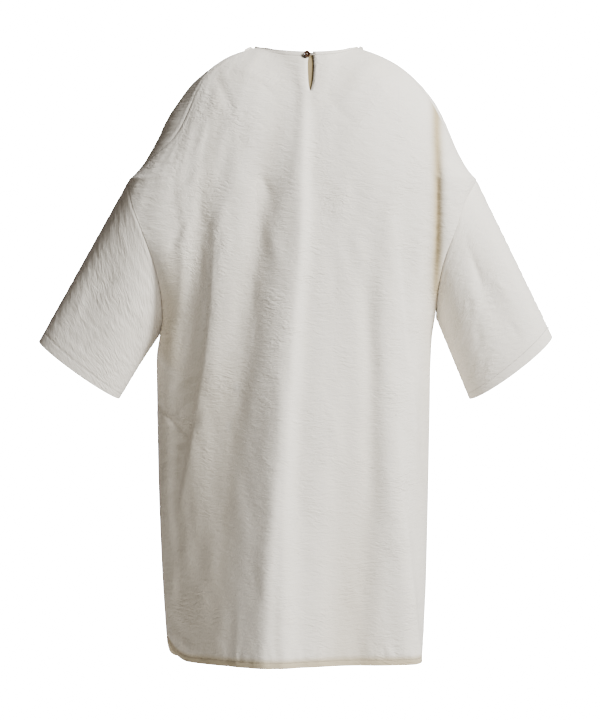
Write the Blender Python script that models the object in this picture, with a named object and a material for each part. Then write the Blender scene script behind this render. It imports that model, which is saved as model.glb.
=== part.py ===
import bmesh
import bpy
import numpy as np

# All sizes are in metres. X is the wearer's left, the front faces minus Y, and Z is up.
# The origin is the middle of the neck, level with the two side neck points.
cloth_wall = 0.0014
hem_wall = 0.0022
facing_wall = 0.0010
pocket_wall = 0.0010
seam_gap = 0.0003
inner_gap = 0.0010
underlap_gap = 0.0012
hem_drop = 0.979
hem_turn = 0.0095
cuff_turn = 0.019
hem_side_rise = 0.036
hem_rise_from = 0.72
back_neck_drop = 0.0110
back_neck_depth = 0.056
front_neck_drop = 0.082
front_neck_depth = 0.088
neck_lean_length = 0.090
slit_end_drop = 0.0780
columns = 56
rows = 26
neck_columns = 6
slit_rows = 7
armhole_rows = 15
sleeve_rows = 9

# The shoulder ridge seen from behind: drop, then half width on the wearer's left and right.
ridge_table = (
    (0.000, 0.084, 0.084),
    (0.0064, 0.1128, 0.1040),
    (0.016, 0.138, 0.127),
    (0.030, 0.161, 0.153),
    (0.045, 0.178, 0.172),
    (0.064, 0.193, 0.189),
    (0.083, 0.2056, 0.204),
    (0.115, 0.2264, 0.223),
    (0.154, 0.249, 0.243),
    (0.192, 0.2715, 0.262),
    (0.2112, 0.284, 0.272),
)
# The armhole seam and the side seam under it: drop, then half width on the left and right.
edge_table = (
    (0.2112, 0.284, 0.272),
    (0.256, 0.2744, 0.248),
    (0.293, 0.260, 0.236),
    (0.341, 0.2424, 0.2180),
    (0.390, 0.2312, 0.2085),
    (0.430, 0.2290, 0.2060),
    (0.459, 0.2344, 0.2015),
    (0.500, 0.2400, 0.1990),
    (0.576, 0.2392, 0.1976),
    (0.730, 0.2360, 0.1944),
    (0.883, 0.2285, 0.1900),
    (0.992, 0.2200, 0.1840),
)
# The panels' middle line and their depth to the back and to the front, by drop.
middle_table = (
    (0.00, -0.007, 0.104, 0.104),
    (0.07, -0.0045, 0.110, 0.110),
    (0.20, 0.004, 0.118, 0.124),
    (0.32, 0.010, 0.116, 0.130),
    (0.48, 0.020, 0.112, 0.124),
    (0.70, 0.020, 0.116, 0.120),
    (0.992, 0.020, 0.124, 0.124),
)
# The roundness of the shoulder, by the part of the way from the middle to the side.
round_table = ((0.0, 0.10), (0.25, 0.10), (0.6, 0.14), (1.0, 0.24))
# How far the shoulder seam lies below the ridge on the back, left and right.
shoulder_seam_table = (
    (0.0, 0.0010, 0.0010),
    (0.35, 0.0170, 0.0060),
    (0.60, 0.0380, 0.0070),
    (0.85, 0.0120, 0.0040),
    (1.0, 0.0, 0.0),
)
# The open back slit seen from behind: drop, then half of its gap.
slit_table = ((0.0, 0.0036), (0.012, 0.0026), (0.024, 0.0046), (0.036, 0.0050), (0.052, 0.0042), (0.066, 0.0028), (0.0780, 0.0))
sleeves = {
    "left": dict(hand=1, underarm=0.459, swell=0.135, outer=(0.428, -0.4688),
                 inner=(0.2990, -0.5610), depth=0.043, sag=0.006),
    "right": dict(hand=-1, underarm=0.430, swell=0.120, outer=(-0.3928, -0.4608),
                  inner=(-0.2600, -0.5610), depth=0.043, sag=0.010),
}
# Drops at which each fold's row gives its place across, its height and its width.
fold_drops = (0.07, 0.16, 0.32, 0.48, 0.64, 0.80, 0.99)
# name, places across, heights in mm, width towards the left in mm, width towards the right in mm
back_folds = (
    ("centre_ridge", (0.002, 0.007, 0.012, 0.024, 0.033, 0.041, 0.048), (2, 6, 10, 17, 23, 28, 30),
     (16, 26, 34, 38, 42, 46, 46), (10, 12, 13, 14, 14, 20, 25)),
    ("slit_ridge", (0.004, 0.006, 0.010, 0.019, 0.028, 0.039, 0.049), (4, 4, 2, -2, -5, -8, -10),
     (9, 18, 24, 14, 12, 15, 15), (5, 8, 11, 12, 12, 15, 16)),
    ("centre_valley", (0.036, 0.052, 0.078, 0.100, 0.122, 0.142, 0.158), (-8, -12, -12, -11, -9, -5, 0),
     (18, 22, 28, 35, 42, 42, 38), (20, 18, 20, 23, 26, 26, 26)),
    ("left_lip", (0.127, 0.138, 0.151, 0.166, 0.184, 0.203, 0.218), (4, 4, 3, 1, 0, 1, 2),
     (7, 8, 12, 10, 8, 8, 8), (20, 20, 22, 22, 22, 20, 20)),
    ("left_valley", (0.132, 0.143, 0.163, 0.184, 0.205, 0.215, 0.220), (-10, -9, -6, -2, 0, 0, 0),
     (16, 18, 18, 22, 22, 20, 18), (14, 15, 15, 15, 15, 14, 14)),
    ("left_ridge", (0.160, 0.174, 0.195, 0.214, 0.218, 0.219, 0.220), (1, 4, 6, 5, 3, 2, 1),
     (15, 17, 17, 14, 12, 14, 14), (13, 12, 12, 10, 16, 20, 22)),
    ("left_slope", (0.178, 0.188, 0.199, 0.208, 0.215, 0.213, 0.206), (-2, -5, -11, -22, -35, -36, -36),
     (24, 22, 18, 24, 25, 27, 30), (65, 65, 70, 86, 104, 98, 84)),
    ("middle_ridge", (-0.056, -0.055, -0.053, -0.050, -0.047, -0.044, -0.036), (5, 2, 1, 1, 0, -1, -2),
     (18, 22, 20, 16, 14, 14, 15), (10, 10, 14, 20, 24, 23, 22)),
    ("right_trough", (-0.040, -0.044, -0.050, -0.060, -0.068, -0.067, -0.064), (8, 4, -1, -5, -9, -16, -24),
     (24, 22, 26, 33, 38, 46, 48), (24, 27, 32, 38, 43, 49, 54)),
    ("right_valley", (-0.083, -0.089, -0.094, -0.099, -0.102, -0.093, -0.082), (3, 4, -1, -8, -8, -4, -3),
     (14, 18, 15, 14, 17, 22, 24), (17, 17, 18, 16, 17, 20, 20)),
    ("right_ridge", (-0.126, -0.129, -0.132, -0.135, -0.142, -0.156, -0.173), (2, 4, 4, 4, 8, 14, 20),
     (28, 25, 28, 31, 30, 28, 27), (10, 11, 16, 16, 12, 10, 10)),
    ("right_crevice", (-0.201, -0.204, -0.207, -0.198, -0.190, -0.186, -0.183), (-6, -10, -14, -16, -16, -14, -8),
     (14, 24, 22, 17, 15, 16, 16), (10, 11, 12, 16, 20, 22, 14)),
)
front_folds = (
    ("front_centre_valley", (0.004, 0.006, 0.012, 0.018, 0.014, 0.010, 0.006), (0, -3, -7, -12, -15, -17, -18),
     (18, 20, 22, 24, 26, 30, 32), (18, 20, 20, 22, 24, 26, 28)),
    ("front_left_ridge", (0.090, 0.086, 0.078, 0.076, 0.080, 0.084, 0.086), (1, 6, 11, 15, 19, 22, 24),
     (18, 20, 22, 24, 26, 28, 30), (14, 16, 17, 18, 20, 22, 24)),
    ("front_left_valley", (0.130, 0.132, 0.136, 0.140, 0.148, 0.154, 0.156), (-2, -7, -11, -13, -14, -12, -10),
     (14, 15, 16, 18, 20, 22, 22), (12, 13, 14, 16, 18, 20, 20)),
    ("front_left_side_ridge", (0.170, 0.174, 0.180, 0.190, 0.196, 0.198, 0.198), (2, 7, 10, 9, 7, 6, 5),
     (12, 14, 14, 14, 14, 14, 14), (12, 12, 12, 12, 12, 12, 12)),
    ("front_right_ridge", (-0.086, -0.080, -0.068, -0.062, -0.064, -0.068, -0.070), (1, 6, 10, 14, 17, 19, 20),
     (16, 17, 18, 20, 22, 24, 26), (16, 18, 20, 22, 24, 26, 28)),
    ("front_right_valley", (-0.122, -0.120, -0.114, -0.114, -0.120, -0.126, -0.128), (-2, -7, -10, -12, -14, -14, -12),
     (14, 14, 15, 16, 18, 20, 20), (14, 14, 15, 16, 18, 20, 20)),
    ("front_right_side_ridge", (-0.160, -0.160, -0.158, -0.160, -0.164, -0.166, -0.166), (2, 7, 10, 11, 10, 8, 6),
     (12, 13, 14, 14, 16, 16, 16), (12, 12, 13, 13, 14, 14, 14)),
)
# Soft troughs and ridges of the sleeves: turn round the tube in degrees, part of the
# length, height in mm, half width in degrees, half length as a part.
sleeve_folds = {
    "left": ((62, 0.55, -5, 20, 0.45), (112, 0.35, 4, 18, 0.40), (205, 0.40, -4, 24, 0.50), (285, 0.55, 5, 22, 0.50)),
    "right": ((78, 0.42, -6, 18, 0.55), (36, 0.50, 3, 18, 0.50), (250, 0.45, -5, 24, 0.50), (310, 0.50, 4, 22, 0.50)),
}
facing_columns = 12
facing_rows = 8
pocket_top_drop = 0.578
pocket_end_drop = 0.722
button_radius = 0.0052
button_thick = 0.0024


def through(table, column, x):
    """A smooth curve through one column of a table, level beyond its ends."""
    xs = np.array([row[0] for row in table])
    ys = np.array([row[column] for row in table])
    return hermite(xs, ys, x)


def hermite(xs, ys, x):
    x = np.clip(x, xs[0], xs[-1])
    step = np.diff(xs)
    rise = np.diff(ys) / step
    tangent = np.empty_like(ys)
    tangent[0] = rise[0]
    tangent[-1] = rise[-1]
    weight = step[1:] * rise[:-1] + step[:-1] * rise[1:]
    tangent[1:-1] = np.where(rise[:-1] * rise[1:] > 0, weight / (step[1:] + step[:-1]), 0.0)
    limit = 3 * np.minimum(np.abs(rise[:-1]), np.abs(rise[1:]))
    tangent[1:-1] = np.clip(tangent[1:-1], -limit, limit)
    i = np.clip(np.searchsorted(xs, x, side="right") - 1, 0, len(step) - 1)
    h = step[i]
    s = (x - xs[i]) / h
    start = (1 + 2 * s) * (1 - s) ** 2 * ys[i] + s * (1 - s) ** 2 * h * tangent[i]
    return start + s * s * (3 - 2 * s) * ys[i + 1] + s * s * (s - 1) * h * tangent[i + 1]


def by_hand(table, u, x):
    """The left column of a table where u is positive, else the right one."""
    return np.where(u >= 0, through(table, 1, x), through(table, 2, x))


neck_part = neck_columns * 2 / columns
ridge_drops = np.linspace(0.0, ridge_table[-1][0], 400)
ridge_arc = {}
for side_name, side_column in (("left", 1), ("right", 2)):
    ridge_wide = through(ridge_table, side_column, ridge_drops)
    ridge_step = np.hypot(np.diff(ridge_wide), np.diff(ridge_drops))
    ridge_arc[side_name] = np.concatenate([[0.0], np.cumsum(ridge_step)]) / ridge_step.sum()


def ridge_drop(u):
    """The drop of the shoulder ridge at each column."""
    part = np.clip((np.abs(u) - neck_part) / (1 - neck_part), 0, 1)
    left = np.interp(part, ridge_arc["left"], ridge_drops)
    right = np.interp(part, ridge_arc["right"], ridge_drops)
    return np.where(u >= 0, left, right)


def roundness(u):
    return through(round_table, 1, np.abs(u))


def run_of_drop(u, drop):
    """The way along a column at which it has this drop."""
    r = roundness(u)
    below = np.maximum(drop - ridge_drop(u), 0)
    return np.sqrt((r + below) ** 2 - r * r)


def hem_at(u):
    part = np.clip((np.abs(u) - hem_rise_from) / (1 - hem_rise_from), 0, 1)
    return hem_drop - hem_side_rise * (1 - (1 - part * part) ** 0.6)


def top_run(u, side):
    """Where a column starts: on the neckline, or on the shoulder seam behind the ridge."""
    q = np.clip(np.abs(u) / neck_part, 0, 1)
    arch = np.cos(np.pi / 2 * q)
    deep = back_neck_drop * arch ** 2 if side > 0 else front_neck_drop * arch
    at_neck = run_of_drop(u, deep)
    part = np.clip((np.abs(u) - neck_part) / (1 - neck_part), 0, 1)
    at_seam = run_of_drop(u, ridge_drop(u) + by_hand(shoulder_seam_table, u, part))
    return np.where(q < 1, at_neck, side * at_seam)


def underarm_drop(u):
    return np.where(u >= 0, sleeves["left"]["underarm"], sleeves["right"]["underarm"])


def row_bias(u, side):
    """Brings a row to the slit's end at the middle, and another to the underarm at the side."""
    middle_top = top_run(np.zeros_like(u), 1)
    middle_end = run_of_drop(np.zeros_like(u), hem_drop)
    slit_part = (run_of_drop(np.zeros_like(u), slit_end_drop) - middle_top) / (middle_end - middle_top)
    at_middle = np.log(slit_part) / np.log(slit_rows / (rows - 2))
    edge = np.where(u >= 0, 1.0, -1.0)
    arm_part = run_of_drop(edge, underarm_drop(u)) / (run_of_drop(edge, hem_at(edge)) - hem_turn)
    at_side = np.log(arm_part) / np.log(armhole_rows / (rows - 2))
    return at_middle + (at_side - at_middle) * np.abs(u) ** 3


def column_run(u, w, side):
    """The way along a column at row w. The last two rows hold the turned hem."""
    top = top_run(u, side)
    end = run_of_drop(u, hem_at(u)) - hem_turn
    body = top + (end - top) * np.clip(w / (rows - 2), 0, 1) ** row_bias(u, side)
    return body + 0.0012 * np.clip(w - rows + 2, 0, 1) + (hem_turn - 0.0012) * np.clip(w - rows + 1, 0, 1)


def fold_height(folds, x, drop):
    total = np.zeros_like(x)
    drops = np.array(fold_drops)
    for name, places, heights, widths_left, widths_right in folds:
        away = x - hermite(drops, np.array(places), drop)
        wide = np.where(away > 0, hermite(drops, np.array(widths_left, float), drop),
                        hermite(drops, np.array(widths_right, float), drop)) / 1000
        total += hermite(drops, np.array(heights, float), drop) / 1000 * np.exp(-(away / wide) ** 2)
    return total


def body_point(u, run, hand):
    """A point of the cloth. The run is above zero on the back and below zero on the front."""
    back = run >= 0
    way = np.abs(run)
    r = roundness(u)
    drop = ridge_drop(u) + np.sqrt(way ** 2 + r * r) - r
    lean = way / np.sqrt(way ** 2 + r * r)
    under = underarm_drop(u)
    fall = np.cos(np.pi / 2 * np.clip((drop - ridge_table[-1][0]) / (under - ridge_table[-1][0]), 0, 2))
    soft = 0.9 * np.sqrt(np.maximum(1 - np.abs(u), 0))
    fall = 0.5 * (fall + np.sqrt(fall ** 2 + soft ** 2))
    sweep = np.pi / 2 * (1 - 0.34 * np.clip(fall, 0, 1))
    turn = np.abs(u) * sweep
    across = np.sin(turn) / np.sin(sweep)
    inward = np.sqrt(np.maximum(1 - across ** 2.6, 0))
    middle = through(middle_table, 1, drop)
    depth = np.where(back, through(middle_table, 2, drop), through(middle_table, 3, drop))
    edge = np.where(drop < ridge_table[-1][0], by_hand(ridge_table, u, drop), by_hand(edge_table, u, drop))
    low_x = np.where(u >= 0, middle + (edge - middle) * across, middle - (edge + middle) * across)
    q = np.clip(np.abs(u) / neck_part, 0, 1)
    arch = np.cos(np.pi / 2 * q)
    top_edge = by_hand(ridge_table, u, ridge_drop(u)) * np.where(np.abs(u) < neck_part, np.sin(np.pi / 2 * q), 1)
    top_x = np.where(u >= 0, top_edge, -top_edge) + through(middle_table, 1, 0) * arch ** 2
    mix = np.clip(way / 0.30, 0, 1)
    mix = mix * mix * (3 - 2 * mix)
    mix = mix + (1 - mix) * np.abs(u) ** 8
    x = top_x + (low_x - top_x) * mix
    swell = np.where(u >= 0, sleeves["left"]["swell"], sleeves["right"]["swell"]) * fall
    low_y = depth * inward + swell * (1 - inward) * np.abs(u) ** 1.5
    y = lean * low_y
    neck_deep = np.where(back, back_neck_depth, front_neck_depth)
    neck_low = np.where(back, back_neck_drop * arch ** 2, front_neck_drop * arch)
    neck_y = neck_deep * arch
    at_neck = neck_y + (low_y - neck_y) * (1 - np.exp(-(drop - neck_low) / neck_lean_length))
    hold = np.clip((q - 0.55) / 0.45, 0, 1)
    y = np.where(np.abs(u) < neck_part, at_neck + (y - at_neck) * hold * hold * (3 - 2 * hold), y)
    quiet = lean ** 3 * (1 - np.abs(u) ** 10) * (1 - np.exp(-way / 0.05))
    fold = np.where(back, fold_height(back_folds, x, drop), fold_height(front_folds, x, drop)) * quiet
    sideways = np.sin(turn) ** 5 * np.sign(u)
    x = x + fold * sideways * 0.7
    y = y + fold * np.sqrt(1 - sideways ** 2 * 0.8)
    near = np.clip(1 - np.abs(u) / 0.12, 0, 1)
    gap = np.where(back, hand * through(slit_table, 1, drop) * near, 0)
    return np.stack([x + gap, np.where(back, y, -y), -drop], axis=-1)


def unit(v):
    return v / np.maximum(np.linalg.norm(v, axis=-1, keepdims=True), 1e-12)


def outwards(grid, sign, tube=False):
    """The directions that face out of a grid of points, read from its own cells."""
    if tube:
        across = np.roll(grid, -1, axis=1) - np.roll(grid, 1, axis=1)
    else:
        across = np.gradient(grid, axis=1)
    return unit(np.cross(across, np.gradient(grid, axis=0))) * sign


def raw_panel(side):
    """Points of the back where side is 1, or of the front where it is -1, and their directions."""
    w, u = np.meshgrid(np.arange(rows + 1, dtype=float), np.linspace(-1, 1, columns + 1), indexing="ij")
    points = body_point(u, side * column_run(u, w, side), np.where(u >= 0, 1.0, -1.0))
    return points, outwards(points, side)


def armhole(side):
    """The armhole's loop and its directions: down the back, then up the front."""
    column = columns if sleeves[side]["hand"] > 0 else 0
    loop = []
    for back, front in zip(raw_panel(1), raw_panel(-1)):
        loop.append(np.concatenate([back[:armhole_rows + 1, column], front[armhole_rows - 1:0:-1, column]]))
    return loop


def sleeve_point(side, loop, arc, s):
    """A point of the sleeve at each place of its loop and part s of its length."""
    settings = sleeves[side]
    turn = arc * 2 * np.pi
    outer = np.array([settings["outer"][0], 0, settings["outer"][1]])
    inner = np.array([settings["inner"][0], 0, settings["inner"][1]])
    middle = (outer + inner) / 2
    along = np.array([outer[2] - inner[2], 0, -(outer[0] - inner[0])])
    along = along / np.linalg.norm(along) * settings["hand"]
    cuff = middle + np.cos(turn)[..., None] * (outer - inner) / 2
    cuff = cuff + np.sin(turn)[..., None] * np.array([0, settings["depth"], 0])
    cuff = cuff + np.abs(np.sin(turn))[..., None] * settings["sag"] * along
    return loop + (cuff - loop) * s[..., None]


def sleeve_sheet(side, levels):
    """The sleeve's outer points and outward directions, rows by places round it."""
    points, normals = armhole(side)
    steps = np.linalg.norm(np.roll(points, -1, axis=0) - points, axis=1)
    arc = np.concatenate([[0.0], np.cumsum(steps)])[:-1]
    half = armhole_rows
    arc = np.where(np.arange(len(arc)) <= half, arc / arc[half] / 2, 0.5 + (arc - arc[half]) / (steps[half:].sum()) / 2)
    s, place = np.meshgrid(levels, np.arange(len(arc)), indexing="ij")
    grid = sleeve_point(side, points[place], arc[place], s)
    turn = np.degrees(arc[place] * 2 * np.pi)
    lift = np.zeros_like(s)
    for where, part, height, half_turn, half_part in sleeve_folds[side]:
        away = (turn - where + 180) % 360 - 180
        lift += height / 1000 * np.exp(-(away / half_turn) ** 2 - ((s - part) / half_part) ** 2)
    lift *= np.sin(np.pi * np.clip(s, 0, 1)) ** 0.8
    sign = -sleeves[side]["hand"]
    grid = grid + outwards(grid, sign, tube=True) * lift[..., None]
    return grid, outwards(grid, sign, tube=True), normals


def part_from(edge, inside, facing):
    """Edge points moved a half gap into the piece, square to their seam."""
    way = unit(np.cross(np.gradient(edge, axis=0), facing))
    way = way * np.sign(np.sum(way * (inside - edge), axis=-1, keepdims=True))
    return edge + way * seam_gap / 2


def panel(side):
    """A panel's outer points, parted at its seams, and the directions it shares along them."""
    points, facing = raw_panel(side)
    other = raw_panel(-side)[1]
    middle = columns // 2
    for seam in (slice(0, middle - neck_columns + 1), slice(middle + neck_columns, columns + 1)):
        facing[0, seam] = unit(facing[0, seam] + other[0, seam])
    for column, name in ((0, "right"), (columns, "left")):
        facing[armhole_rows:, column] = unit(facing + other)[armhole_rows:, column]
        places = side * np.arange(armhole_rows + 1) % (2 * armhole_rows)
        facing[:armhole_rows + 1, column] = seam_directions(name)[places]
    moved = points.copy()
    moved[0] = part_from(moved[0], points[1], facing[0])
    moved[:, 0] = part_from(moved[:, 0], points[:, 1], facing[:, 0])
    moved[:, -1] = part_from(moved[:, -1], points[:, -2], facing[:, -1])
    return moved, facing


def seam_directions(name):
    """The directions shared by the panels and a sleeve along their seam."""
    grid, facing, normals = sleeve_sheet(name, np.array([0.0, 0.1, 0.2]))
    return unit(facing[0] + normals)


def material(name, colour, rough):
    made = bpy.data.materials.new(name)
    made.use_nodes = True
    shader = made.node_tree.nodes["Principled BSDF"]
    shader.inputs["Base Color"].default_value = (*colour, 1)
    shader.inputs["Roughness"].default_value = rough
    made.diffuse_color = (*colour, 1)
    return made


def finish(bm, name, colour, rough=0.85):
    bmesh.ops.recalc_face_normals(bm, faces=bm.faces[:])
    if bm.calc_volume(signed=True) < 0:
        bmesh.ops.reverse_faces(bm, faces=bm.faces[:])
    mesh = bpy.data.meshes.new(name)
    bm.to_mesh(mesh)
    bm.free()
    made = bpy.data.objects.new(name, mesh)
    made.data.materials.append(material(name, colour, rough))
    garment.objects.link(made)
    for polygon in mesh.polygons:
        polygon.use_smooth = True
    return made


def sewn_sheet(name, outer, inner, colour, slit=None, tube=False):
    """Makes a closed wall from a grid of outer points and one of inner points."""
    high = outer.shape[0] - 1
    wide = outer.shape[1] - 1
    bm = bmesh.new()
    bmesh.ops.create_grid(bm, x_segments=wide, y_segments=high, size=1.0)
    station = bm.verts.layers.int.new("station")
    for vert in bm.verts:
        column = round((vert.co.x + 1) / 2 * wide)
        row = round((1 - vert.co.y) / 2 * high)
        vert[station] = row * (wide + 1) + column
    outside = outer.reshape(-1, 3)
    inside = inner.reshape(-1, 3)
    if slit is not None:
        second_outer, second_inner, slit_end = slit
        path = [e for e in bm.edges if all(abs(v.co.x) < 1e-6 and v.co.y > 1 - 2 * (slit_end + 0.5) / high
                                           for v in e.verts)]
        bmesh.ops.split_edges(bm, edges=path)
        for vert in bm.verts:
            row = round((1 - vert.co.y) / 2 * high)
            middle = sum(f.calc_center_median().x for f in vert.link_faces) / len(vert.link_faces)
            if abs(vert.co.x) < 1e-6 and row < slit_end and middle < 0:
                vert[station] = len(outside) + row
        outside = np.concatenate([outside, second_outer])
        inside = np.concatenate([inside, second_inner])
    for vert in bm.verts:
        vert.co = outside[vert[station]]
    if tube:
        bmesh.ops.remove_doubles(bm, verts=bm.verts[:], dist=1e-5)
    grown = bmesh.ops.extrude_face_region(bm, geom=bm.faces[:], use_keep_orig=True)
    for item in grown["geom"]:
        if isinstance(item, bmesh.types.BMVert):
            item.co = inside[item[station]]
    return finish(bm, name, colour)


def make_panel(name, side, colour):
    outer, facing = panel(side)
    wall = np.full(outer.shape[:2], cloth_wall)
    wall[-2:] = hem_wall
    inner = outer - facing * wall[..., None]
    slit = None
    if side > 0:
        second = slit_edge()
        slit = (second, second - facing[:, columns // 2] * cloth_wall, slit_rows)
    return sewn_sheet(name, outer, inner, colour, slit)


def slit_edge():
    """The slit's edge on the wearer's right, from the neck down the middle column."""
    w = np.arange(rows + 1, dtype=float)
    return body_point(np.zeros_like(w), column_run(np.zeros_like(w), w, 1), np.full_like(w, -1.0))


def within(grid, column, row):
    """Points between those of a grid, at these places across and down it."""
    c = np.clip(np.floor(column).astype(int), 0, grid.shape[1] - 2)
    r = np.clip(np.floor(row).astype(int), 0, grid.shape[0] - 2)
    s = (column - c)[..., None]
    t = (row - r)[..., None]
    upper = grid[r, c] * (1 - s) + grid[r, c + 1] * s
    lower = grid[r + 1, c] * (1 - s) + grid[r + 1, c + 1] * s
    return upper * (1 - t) + lower * t


def make_sleeve(name, side, colour):
    settings = sleeves[side]
    length = np.hypot(settings["outer"][0] - settings["hand"] * 0.28, settings["outer"][1] + 0.21)
    turn_part = cuff_turn / length
    levels = np.concatenate([np.linspace(0, 1 - turn_part - 0.008, sleeve_rows - 1), [1 - turn_part, 1.0]])
    grid, facing, normals = sleeve_sheet(side, levels)
    facing[0] = seam_directions(side)
    moved = grid.copy()
    ring = np.concatenate([grid[:, -1:], grid, grid[:, :1]], axis=1)
    ring_facing = np.concatenate([facing[0, -1:], facing[0], facing[0, :1]])
    moved[0] = part_from(ring[0], ring[1], ring_facing)[1:-1]
    wall = np.full(grid.shape[:2], cloth_wall)
    wall[-2:] = hem_wall
    inner = moved - facing * wall[..., None]
    closed_outer = np.concatenate([moved, moved[:, :1]], axis=1)
    closed_inner = np.concatenate([inner, inner[:, :1]], axis=1)
    return sewn_sheet(name, closed_outer, closed_inner, colour, tube=True)


def make_facing(name, colour):
    """The shaped facing inside the back neck, cut through at the slit."""
    outer, facing = panel(1)
    second = slit_edge()
    middle = columns // 2
    second_facing = facing[:, middle]
    across = np.arange(middle - facing_columns, middle + facing_columns + 1, dtype=float)
    part, column = np.meshgrid(np.arange(facing_rows + 1, dtype=float), across, indexing="ij")
    far = np.abs(column - middle) / facing_columns
    bulge = 1 + 0.05 * np.sin(np.pi * np.clip(far * 2, 0, 1)) ** 2 - 0.62 * far ** 3
    row = np.maximum(part * bulge, 0.06)
    depth = cloth_wall + inner_gap
    lay = within(outer, column, row) - within(facing, column, row) * depth
    back = lay - within(facing, column, row) * facing_wall
    second_lay = (second - second_facing * depth)[:facing_rows + 1]
    second_back = second_lay - second_facing[:facing_rows + 1] * facing_wall
    return sewn_sheet(name, lay, back, colour, (second_lay, second_back, slit_rows))


def make_underlap(name, colour):
    """The strip behind the slit, inside its facing, which shows through the slit."""
    outer, facing = panel(1)
    middle = columns // 2
    outer = outer.copy()
    outer[:, middle] = (outer[:, middle] + slit_edge()) / 2
    row, column = np.meshgrid(np.linspace(0.6, slit_rows + 1, 9), middle + np.linspace(-1.5, 1.5, 7), indexing="ij")
    away = within(facing, column, row)
    lay = within(outer, column, row) - away * (cloth_wall + inner_gap + facing_wall + underlap_gap)
    return sewn_sheet(name, lay, lay - away * facing_wall, colour)


def make_pocket(name, hand, colour):
    """A pocket bag pressed flat inside the back panel, from the side seam inwards."""
    outer, facing = panel(1)
    away = np.array([0.1, 1, 2, 3, 4, 5, 6])
    part, away = np.meshgrid(np.linspace(0, 1, 7), away, indexing="ij")
    column = columns - away if hand > 0 else away
    drops = -outer[..., 2]
    far = away / 6
    top_drop = pocket_top_drop + 0.034 * far
    low_drop = pocket_end_drop - 0.014 * far ** 3
    drop = top_drop + (low_drop - top_drop) * part
    row = np.zeros_like(drop)
    for place in np.ndindex(drop.shape):
        steps = np.arange(rows + 1, dtype=float)
        levels = within(drops[..., None], np.full_like(steps, column[place]), steps)[:, 0]
        row[place] = np.interp(drop[place], levels, steps)
    lay = within(outer, column, row) - within(facing, column, row) * (cloth_wall + inner_gap)
    back = lay - within(facing, column, row) * pocket_wall
    return sewn_sheet(name, lay, back, colour)


def place_at(u, drop, out, hand):
    """A point out from the cloth, with the directions across, along and out."""
    size = np.array([[-0.001], [0.0], [0.001]])
    u_near = u + size.T + size * 0
    run = run_of_drop(u_near, drop + size + size.T * 0)
    points = body_point(u_near, run, np.full_like(u_near, hand))
    normal = outwards(points, 1)[1, 1]
    across = unit(np.cross(np.array([0, 0, 1.0]), normal))
    along = np.cross(normal, across)
    return points[1, 1] + normal * out, across, along, normal


def make_button(name, colour):
    """A dished round button on its thread shank, turned from one profile."""
    base, across, along, normal = place_at(0.006, 0.0164, seam_gap, 1)
    rim = button_radius
    low = 0.0016
    high = low + button_thick
    profile = ((0, 0), (0.0011, 0), (0.0011, low), (rim - 0.0008, low), (rim, low + 0.0008),
               (rim, high - 0.0006), (rim - 0.0006, high), (rim - 0.0015, high - 0.0002),
               (rim - 0.0021, high - 0.0008), (0, high - 0.0009))
    bm = bmesh.new()
    verts = [bm.verts.new((r, 0, h)) for r, h in profile]
    edges = [bm.edges.new(pair) for pair in zip(verts, verts[1:])]
    bmesh.ops.spin(bm, geom=verts + edges, cent=(0, 0, 0), axis=(0, 0, 1), angle=2 * np.pi, steps=20,
                   use_merge=True, use_duplicate=False)
    bmesh.ops.remove_doubles(bm, verts=bm.verts[:], dist=1e-6)
    for vert in bm.verts:
        vert.co = base + across * vert.co.x + along * vert.co.y + normal * vert.co.z
    return finish(bm, name, colour, 0.35)


def make_loop(name, colour):
    """The thread loop from the slit's far edge round the button's shank."""
    centre, across, along, normal = place_at(0.006, 0.0164, 0.0013, 1)
    far_edge, other, down, up = place_at(-0.004, 0.0164, 0.0013, -1)
    reach = np.dot(far_edge - centre, across)
    level = np.dot(far_edge - centre, normal)
    bend = 0.0024
    path = []
    for degrees in range(-90, 91, 30):
        angle = np.radians(degrees)
        side = -np.sign(reach)
        path.append((side * bend * np.cos(angle), bend * np.sin(angle), 0))
    legs = ((reach, -0.0011, level), (reach * 0.5, -0.0020, level * 0.4))
    ends = ((reach * 0.5, 0.0020, level * 0.4), (reach, 0.0011, level))
    points = list(legs) + path + list(ends)
    curve = bpy.data.curves.new(name, "CURVE")
    curve.dimensions = "3D"
    curve.bevel_depth = 0.00045
    curve.bevel_resolution = 2
    curve.use_fill_caps = True
    spline = curve.splines.new("POLY")
    spline.points.add(len(points) - 1)
    for point, (a, b, c) in zip(spline.points, points):
        point.co = (*(centre + across * a + along * b + normal * c), 1)
    made = bpy.data.objects.new(name, curve)
    made.data.materials.append(material(name, colour, 0.8))
    garment.objects.link(made)
    return made


for old in list(bpy.data.objects):
    bpy.data.objects.remove(old)
garment = bpy.data.collections.new("manteau")
bpy.context.scene.collection.children.link(garment)

ivory = (0.82, 0.79, 0.72)
make_panel("back_panel", 1, ivory)
make_panel("front_panel", -1, (0.80, 0.77, 0.70))
make_sleeve("sleeve_left", "left", (0.83, 0.80, 0.74))
make_sleeve("sleeve_right", "right", (0.83, 0.80, 0.74))
make_facing("back_neck_facing", (0.74, 0.69, 0.58))
make_underlap("slit_underlap", (0.74, 0.69, 0.58))
make_pocket("pocket_bag_left", 1, (0.74, 0.69, 0.58))
make_pocket("pocket_bag_right", -1, (0.74, 0.69, 0.58))
make_button("button", (0.10, 0.045, 0.022))
make_loop("button_loop", (0.70, 0.64, 0.50))
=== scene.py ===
import math

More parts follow.
